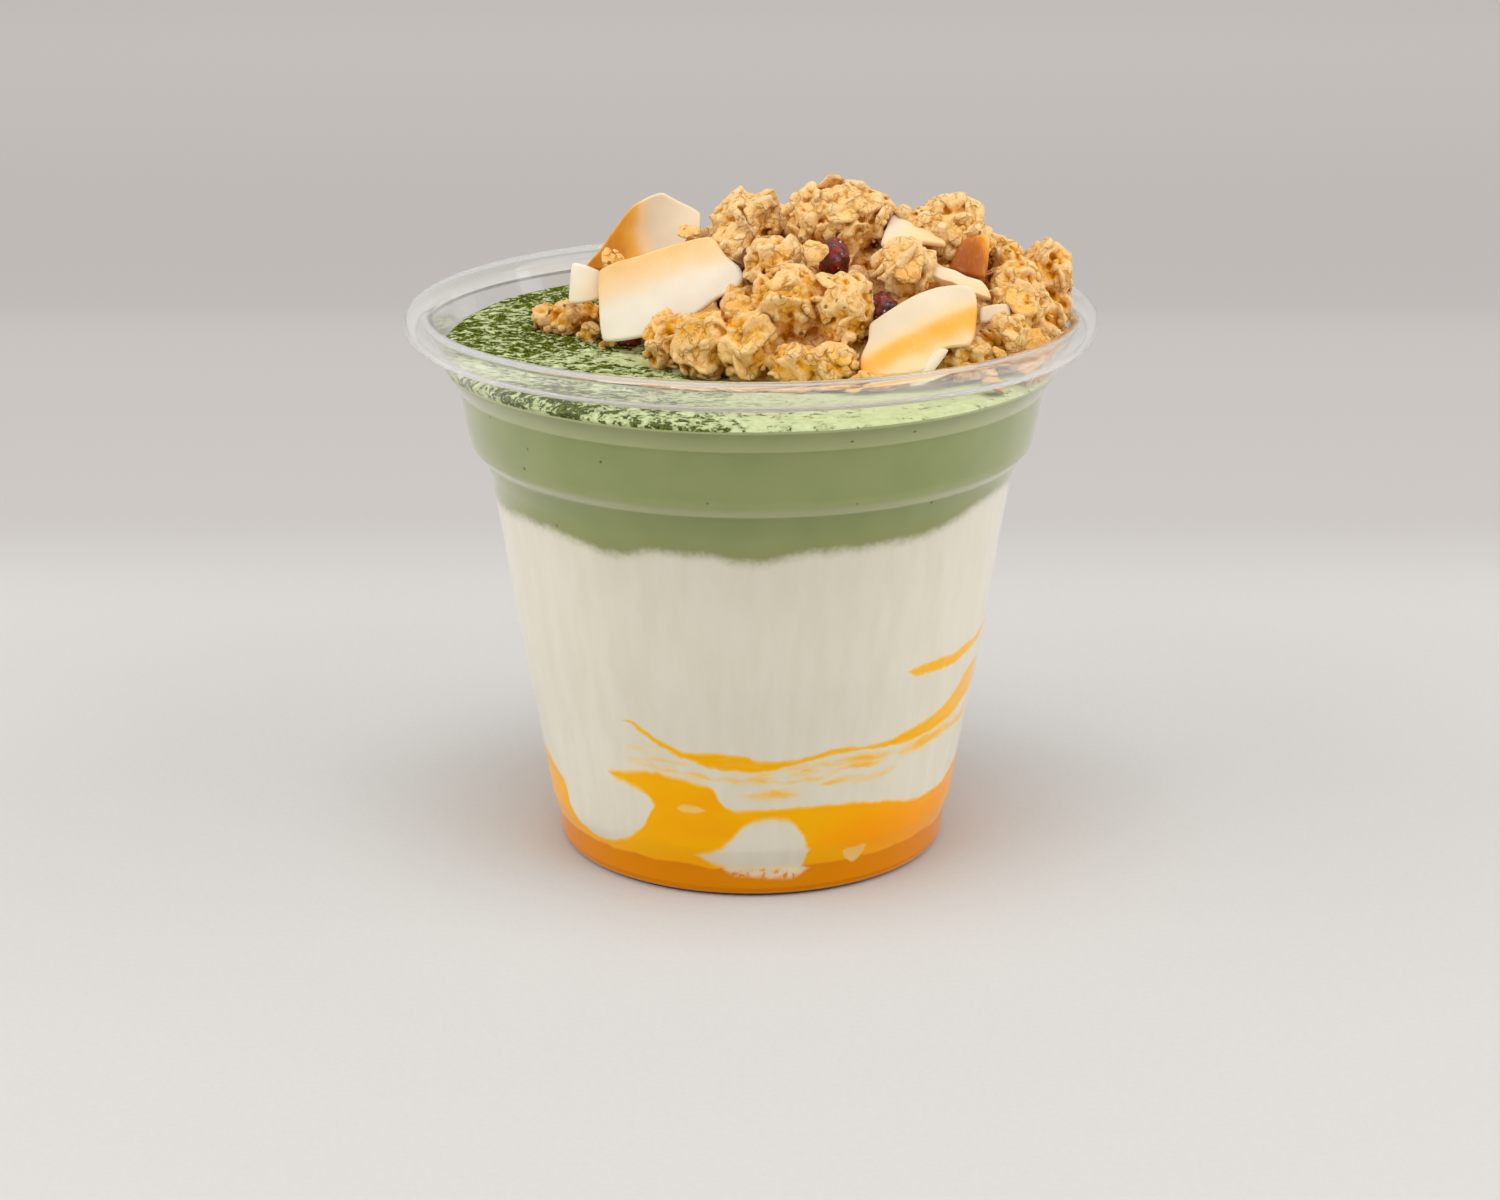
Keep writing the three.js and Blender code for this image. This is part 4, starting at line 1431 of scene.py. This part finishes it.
def flake_mesh(name, groups, lumps, inside, solid, rng):
    """Separate flakes and crumbs, from groups of (shapes, their ball, its faces), with the
    same numbers for their shader."""
    shapes = [many(some, faces) for some, _, faces in groups]
    points, faces = joined(shapes)
    points = kept_inside(points, inside)
    mesh = mesh_from(name, points, faces.tolist())
    normals = read_vectors(mesh.vertices, "normal")
    tints = [np.repeat(rng.uniform(0, 1, len(some)), len(ball)) for some, ball, _ in groups]
    hollow = [np.tile(-0.7 * (1 - np.abs(ball[:, 2])) ** 3, len(some)) for some, ball, _ in groups]
    set_numbers(
        mesh, tint=np.concatenate(tints), hollow=np.concatenate(hollow),
        hidden=solid.hidden(points, normals),
    )
    if lumps:
        set_numbers(mesh, depth=depth_below(points, lumps))
    return mesh


def granola_look(settings):
    """Baked oats: tan flakes with a pale crumbly crust and amber cracks, with painted light and
    shade: paler on raised edges, outer parts and towards the top as painted highlight, amber in
    hollow folds and deep in clusters and a dark red-brown where the heap hides them, as painted
    shade."""
    look = Look("granola")
    point = look.position()
    tint = look.attribute("tint")
    hollow = look.attribute("hollow")
    hidden = look.attribute("hidden")
    depth = look.attribute("depth")
    height = look.axes(point)[2]
    cloud = look.noise(point, 2.2, 3.0)
    crumb = look.noise(point, 0.7, 5.0, 0.68)
    pit = look.noise(point, 0.42, 3.0, 0.7)
    bent = look.node("TexNoise", {}, {"Vector": point, "Scale": 0.7, "Detail": 3.0}, "Color")
    bent = look.node("VectorMath", {"operation": "MULTIPLY_ADD"}, {0: bent, 1: (2, 2, 2), 2: point})
    gap = look.node("TexVoronoi", {"feature": "DISTANCE_TO_EDGE"}, {"Vector": bent, "Scale": 0.5}, 0)
    crack = gap.smooth(0.09, 0.0) * cloud.smooth(0.42, 0.58)
    # level and crumbly grow with height, so the heap is lighter and has more pale crumbs higher up:
    # painted light from above.
    level = tint * 0.7 + (cloud - 0.5) * 1.3 + (height - 80.0) * 0.02 + 0.15
    crumbly = height.smooth(73.0, 91.0) * 0.34 + 0.3
    seed = look.specks(point, 0.5)
    rare = look.noise(point, 4.0, 0.0).smooth(0.56, 0.6)
    base = look.mix(level.smooth(0.0, 1.0), settings.oat_dark, settings.oat)
    # Pale oat: the crumbs' own spots, and painted highlight on convex, outer and high parts. Crust:
    # its own cracks, crumbs and pits, and painted shade in hollows, deep in clusters and where the
    # heap hides a point. Crevice: painted shade where most is hidden, and dark seeds.
    for shade, amounts in (
        (settings.oat_pale_and_highlight, (
            (crumb - 0.5).smooth(-0.02, 0.16) * crumbly,
            hollow.smooth(0.1, -0.9) * 0.4,
            depth.smooth(0.08, -0.08) * 0.45,
            height.smooth(80.0, 92.0) * 0.4,
        )),
        (settings.crust, (
            depth.smooth(0.12, 0.38) * 0.6,
            crack * 0.5,
            crumb.smooth(0.44, 0.3) * 0.6,
            pit.smooth(0.38, 0.28) * 0.45,
            hollow.smooth(0.05, 0.8) * 0.9,
            hidden.smooth(0.45, 0.85) * 0.5,
        )),
        (settings.crevice_shade_and_specks, (
            hidden.smooth(0.74, 0.94) * 0.95,
            seed.smooth(0.2, 0.12) * rare * 0.7,
        )),
    ):
        for amount in amounts:
            base = look.mix(amount, base, shade)
    rough = crumb * 0.3 + 0.42
    relief = crumb + pit * 0.5 + look.noise(point, 1.6, 2.0) - crack * 0.5
    return look.finish(look.principled(
        Base_Color=base, Roughness=rough, Specular_IOR_Level=0.04, Subsurface_Weight=0.15,
        Subsurface_Radius=(1.0, 0.45, 0.18), Subsurface_Scale=0.8 * MM,
        Normal=look.bump(relief, 0.45, 0.9),
    ))


class PARFAIT_OT_granola(bpy.types.Operator):
    """Adds the granola heap, its loose flakes and the small cluster on the left"""

    bl_idname = "parfait.granola"
    bl_label = "Granola"

    def execute(self, context):
        settings = context.scene.parfait_toppings
        cup = context.scene.parfait_cup
        self.inside = Inside(cup.sheet, cup.reach)
        self.material = granola_look(settings)
        self.rng = np.random.default_rng(settings.seed)
        lumps = [(np.array(at, float), size, 1.0) for at, size in CLUSTERS]
        for low, sizes, sunk, share in FILL_ROUNDS:
            lumps += [(*lump, share) for lump in fill_clusters(self.rng, low, sizes, sunk)]
        front = [lump for lump in lumps if lump[0][1] < HEAP_CENTRE[1]]
        back = [lump for lump in lumps if lump[0][1] >= HEAP_CENTRE[1]]
        left = [(np.array(at, float), size, 1.0) for at, size in LEFT_CLUSTER]
        self.solid = Solid(lumps + left)
        grain = settings.grain / MM
        self.add("granola_front", front, grain, ["granola_heap"], sunk=8.0)
        self.add("granola_back", back, grain * 1.3, [], sunk=8.4)
        self.add("granola_left", left, grain * 0.7, ["granola_cluster_left"])
        self.add_loose()
        return {"FINISHED"}

    def add(self, name, lumps, voxel, replaced, sunk=None):
        """Builds the crust of some clusters, and the crisp flakes that stand out of it.
        With sunk, the heap's core lies under them, that far below the mound's top."""
        rng = self.rng
        ball, ball_faces = unit_ball(3)
        bead, bead_faces = unit_ball(2)
        speck, speck_faces = unit_ball(1)
        shapes = []
        centres = []
        crisp = []
        grit = []
        for centre, size, share in lumps:
            half = np.array(size) / 2
            mean = float(np.mean(half))
            area = 4 * math.pi * mean ** 2
            scale = min(1, mean / FULL_HALF)
            at, normals = shell(rng, centre, half, max(6, round(area / FLAKE_AREA)), 0.55, 0.8)
            normals = normals + rng.normal(0, 0.5, normals.shape)
            lengths = rng.uniform(*FLAKE_LENGTHS, len(at)) * scale
            shapes.append(many(oat_flakes(rng, ball, at, normals, lengths), ball_faces))
            centres.append(at)
            at, _ = shell(rng, centre, half, max(8, round(area / CRUMB_AREA)), 0.7, 0.96)
            lengths = rng.uniform(*CRUMB_LENGTHS, len(at))
            shapes.append(many(crumbs(rng, bead, at, lengths), bead_faces))
            shapes.append((ball * half * 0.68 + centre, ball_faces))
            count = max(3, round(area / CRISP_AREA * share))
            at, normals = shell(rng, centre, half, count, 0.7, 0.88)
            normals = normals + rng.normal(0, 0.38, normals.shape)
            at[:, 2] = np.minimum(at[:, 2], HIGHEST_FLAKE)
            lengths = rng.uniform(*CRISP_LENGTHS, len(at)) * scale
            crisp.append(oat_flakes(rng, ball, at, normals, lengths))
            at, _ = shell(rng, centre, half, round(area / GRIT_AREA * share), 0.82, 0.98)
            at[:, 2] = np.minimum(at[:, 2], HIGHEST_FLAKE + 1)
            grit.append(crumbs(rng, speck, at, rng.uniform(*GRIT_LENGTHS, len(at))))
        if sunk is not None:
            shapes.append(mound_core(sunk))
        centres = np.vstack(centres)
        tints = rng.uniform(0, 1, len(centres))
        crust = crust_mesh(name, shapes, lumps, centres, tints, voxel, self.inside, self.solid)
        add_piece(name, crust, self.material, replaced)
        groups = [
            (np.concatenate(crisp), ball, ball_faces),
            (np.concatenate(grit), speck, speck_faces),
        ]
        flakes = flake_mesh(name + "_flakes", groups, lumps, self.inside, self.solid, rng)
        add_piece(name + "_flakes", flakes, self.material)

    def add_loose(self):
        """Adds the single flakes."""
        rng = self.rng
        ball, ball_faces = unit_ball(3)
        centres = np.array([at for at, _ in LOOSE_FLAKES], float)
        lengths = np.array([length for _, length in LOOSE_FLAKES], float)
        normals = rng.normal(0, 0.35, (len(centres), 3)) + (0, -0.5, 0.8)
        groups = [(oat_flakes(rng, ball, centres, normals, lengths), ball, ball_faces)]
        flakes = flake_mesh("granola_loose_flakes", groups, [], self.inside, self.solid, rng)
        add_piece("granola_loose_flakes", flakes, self.material)


# ---- Coconut ----

def closed_curve(points, steps):
    """A smooth closed curve through points."""
    points = np.array(points, float)
    before, after = np.roll(points, 1, 0), np.roll(points, -1, 0)
    later = np.roll(points, -2, 0)
    t = np.linspace(0, 1, steps, endpoint=False)[None, :, None]
    p0, p1, p2, p3 = (p[:, None] for p in (before, points, after, later))
    tension = 0.32
    m1, m2 = (p2 - p0) * tension, (p3 - p1) * tension
    made = (2 * t ** 3 - 3 * t ** 2 + 1) * p1 + (t ** 3 - 2 * t ** 2 + t) * m1
    made = made + (3 * t ** 2 - 2 * t ** 3) * p2 + (t ** 3 - t ** 2) * m2
    return made.reshape(-1, 2)


def chip_shape(chip, outline, seed):
    """A thin curved chip: points, faces and how toasted each point is."""
    corners = np.array(chip[:4], float)
    bow, start, peak, most, after = chip[4:]
    rim = closed_curve(outline, 8)
    columns = len(rim)
    share = np.concatenate([np.linspace(0, 0.88, 12), [0.93, 0.965, 0.99, 1.0]])
    places = 0.5 + (rim[None] - 0.5) * share[:, None, None]
    size = np.linalg.norm(corners[2] - corners[0]) / 2
    edge = np.clip((share - 1 + CHIP_EDGE / size) / (CHIP_EDGE / size), 0, 1)
    half = CHIP_THICKNESS / 2 * np.sqrt(np.maximum(1 - edge ** 2, 0))
    u, v = places[..., 0], places[..., 1]
    base = bilinear(corners, u, v)
    normal = np.cross(corners[1] - corners[0], corners[3] - corners[0])
    normal /= np.linalg.norm(normal)
    flat = base.reshape(-1, 3)
    waves = 0.22 * fractal_noise(flat, 5.0, 2, seed).reshape(u.shape)
    thin = 1 + 0.25 * value_noise(flat, 4.0, seed + 3).reshape(u.shape)
    middle = base + normal * (bow * (1 - (2 * u - 1) ** 2) + waves)[..., None]
    front = middle + normal * (half[:, None] * thin)[..., None]
    rear = middle - normal * (half[:, None] * thin)[..., None]
    grid = np.vstack([front[1:].reshape(-1, 3), rear[1:-1].reshape(-1, 3), front[0, :1], rear[0, :1]])
    rows = len(share) - 1
    ring = np.arange(rows * columns).reshape(rows, columns)
    rear_ring = rows * columns + np.arange((rows - 1) * columns).reshape(rows - 1, columns)
    rear_ring = np.vstack([rear_ring, ring[-1:]])
    quads = []
    for rings, flip in ((ring, False), (rear_ring, True)):
        here, there = rings[:-1], rings[1:]
        block = np.stack([here, there, np.roll(there, -1, 1), np.roll(here, -1, 1)], 2).reshape(-1, 4)
        quads += (block[:, ::-1] if flip else block).tolist()
    tips = (len(grid) - 2, len(grid) - 1)
    quads += [[tips[0], ring[0, i], ring[0, (i + 1) % columns]] for i in range(columns)]
    quads += [[tips[1], rear_ring[0, (i + 1) % columns], rear_ring[0, i]] for i in range(columns)]
    along = np.array(peak, float) - start
    step = ((u - start[0]) * along[0] + (v - start[1]) * along[1]) / (along @ along)
    past = np.clip(step - 1, 0, 1)
    toast = most * eased(np.clip(step, 0, 1)) + (after - most) * eased(past)
    toast = np.concatenate([toast[1:].ravel(), toast[1:-1].ravel(), toast[0, :1], toast[0, :1]])
    return grid, quads, toast


def coconut_look(settings):
    """Dried coconut: ivory, peach where it starts to toast, golden to amber where it has."""
    look = Look("coconut")
    point = look.position()
    toast = look.attribute("toast")
    cloud = look.noise(point, 3.0, 3.0) - 0.5
    level = toast + cloud * 0.22 * toast.smooth(0.0, 0.4) + cloud * 0.05
    # Painted shade in part: how tan a chip is all over.
    tint = look.mix(look.attribute("tone"), settings.coconut, settings.coconut_tan_and_shade)
    for low, high, deeper in (
        (0.0, 0.32, settings.coconut_peach), (0.28, 0.66, settings.coconut_gold),
        (0.6, 1.0, settings.coconut_toasted), (1.0, 1.4, settings.coconut_burnt),
    ):
        tint = look.mix(level.smooth(low, high), tint, deeper)
    fibre = look.noise(look.vector(*stretched(look, point)), 0.5, 3.0)
    tint = look.mix(fibre.smooth(0.5, 0.8) * 0.16, tint, settings.coconut_peach)
    return look.finish(look.principled(
        Base_Color=tint, Roughness=0.48, Specular_IOR_Level=0.3, Subsurface_Weight=0.35,
        Subsurface_Radius=(1.0, 0.8, 0.5), Subsurface_Scale=0.9 * MM,
        Normal=look.bump(fibre, 0.06, 0.5),
    ))


def stretched(look, point):
    """A point's three numbers, squeezed along X so that noise runs in fibres."""
    x, y, z = look.axes(point)
    return x * 0.9, y, z * 0.16


class PARFAIT_OT_coconut(bpy.types.Operator):
    """Adds the toasted coconut chips"""

    bl_idname = "parfait.coconut"
    bl_label = "Coconut chips"

    def execute(self, context):
        material = coconut_look(context.scene.parfait_toppings)
        for index, chip in enumerate(CHIPS):
            outline = OUTLINES.get(index, EVEN_OUTLINE)
            points, faces, toast = chip_shape(chip, outline, 60 + index)
            name = f"coconut_chip_{index + 1}"
            mesh = mesh_from(name + "_skin", points, faces)
            set_numbers(mesh, toast=toast, tone=np.full(len(points), CHIP_TAN_AND_SHADE[index]))
            add_piece(name + "_skin", mesh, material, [name])
        return {"FINISHED"}


# ---- Berries ----

def berry_look(settings):
    """Dried berry: wrinkled, dark red and glossy, with sugar grains."""
    look = Look("dried_berry")
    point = look.position()
    wrinkle = look.noise(point, 1.1, 3.0, 0.55, 0.6)
    tint = look.mix(wrinkle.smooth(0.35, 0.7), settings.berry_dark, settings.berry)
    grain = look.specks(point, 1.6)
    sugar = grain.smooth(0.24, 0.14) * look.noise(point, 1.4, 0.0).smooth(0.5, 0.58)
    tint = look.mix(sugar, tint, settings.sugar)
    return look.finish(look.principled(
        Base_Color=tint, Roughness=0.32, Coat_Weight=0.2, Coat_Roughness=0.12,
        Subsurface_Weight=0.2, Subsurface_Radius=(1.0, 0.15, 0.1), Subsurface_Scale=1.0 * MM,
        Normal=look.bump(wrinkle, 0.35, 0.7),
    ))


class PARFAIT_OT_berries(bpy.types.Operator):
    """Adds the dried berries"""

    bl_idname = "parfait.berries"
    bl_label = "Dried berries"

    def execute(self, context):
        material = berry_look(context.scene.parfait_toppings)
        ball, faces = unit_ball(5)
        for index, (centre, size) in enumerate(BERRIES):
            lumps = 1 + 0.2 * fractal_noise(ball, 0.7, 3, 70 + index)
            points = ball * lumps[:, None] * np.array(size) / 2 + centre
            name = f"dried_berry_{index + 1}"
            mesh = mesh_from(name + "_skin", points, faces.tolist())
            replaced = [name] if index < CAD_BERRIES else []
            add_piece(name + "_skin", mesh, material, replaced)
        return {"FINISHED"}


# ---- Panel and start ----

SETTINGS = {
    "parfait_cup": CupSettings,
    "parfait_layers": LayerSettings,
    "parfait_toppings": ToppingSettings,
    "parfait_stage": StageSettings,
}
OPERATORS = (
    PARFAIT_OT_stage, PARFAIT_OT_cup, PARFAIT_OT_layers, PARFAIT_OT_granola,
    PARFAIT_OT_coconut, PARFAIT_OT_berries,
)


class PARFAIT_PT_sidebar(bpy.types.Panel):
    """Lists the parts of the parfait and their settings"""

    bl_label = "Parfait"
    bl_space_type = "VIEW_3D"
    bl_region_type = "UI"
    bl_category = "Parfait"

    def draw(self, context):
        for group, kind in SETTINGS.items():
            box = self.layout.box()
            box.label(text=kind.__doc__)
            for name in kind.__annotations__:
                box.prop(getattr(context.scene, group), name)
        for operator in OPERATORS:
            self.layout.operator(operator.bl_idname)


def register():
    """Registers the settings, the operators and the panel."""
    for kind in (*SETTINGS.values(), *OPERATORS, PARFAIT_PT_sidebar):
        bpy.utils.register_class(kind)
    for group, kind in SETTINGS.items():
        setattr(bpy.types.Scene, group, PointerProperty(type=kind))


def unregister():
    """Takes back what register did."""
    for group in SETTINGS:
        delattr(bpy.types.Scene, group)
    for kind in (PARFAIT_PT_sidebar, *reversed(OPERATORS), *SETTINGS.values()):
        bpy.utils.unregister_class(kind)


def main():
    """Builds the parfait, one operator after the other."""
    register()
    for operator in OPERATORS:
        group, name = operator.bl_idname.split(".")
        getattr(getattr(bpy.ops, group), name)()


if __name__ == "__main__":
    main()
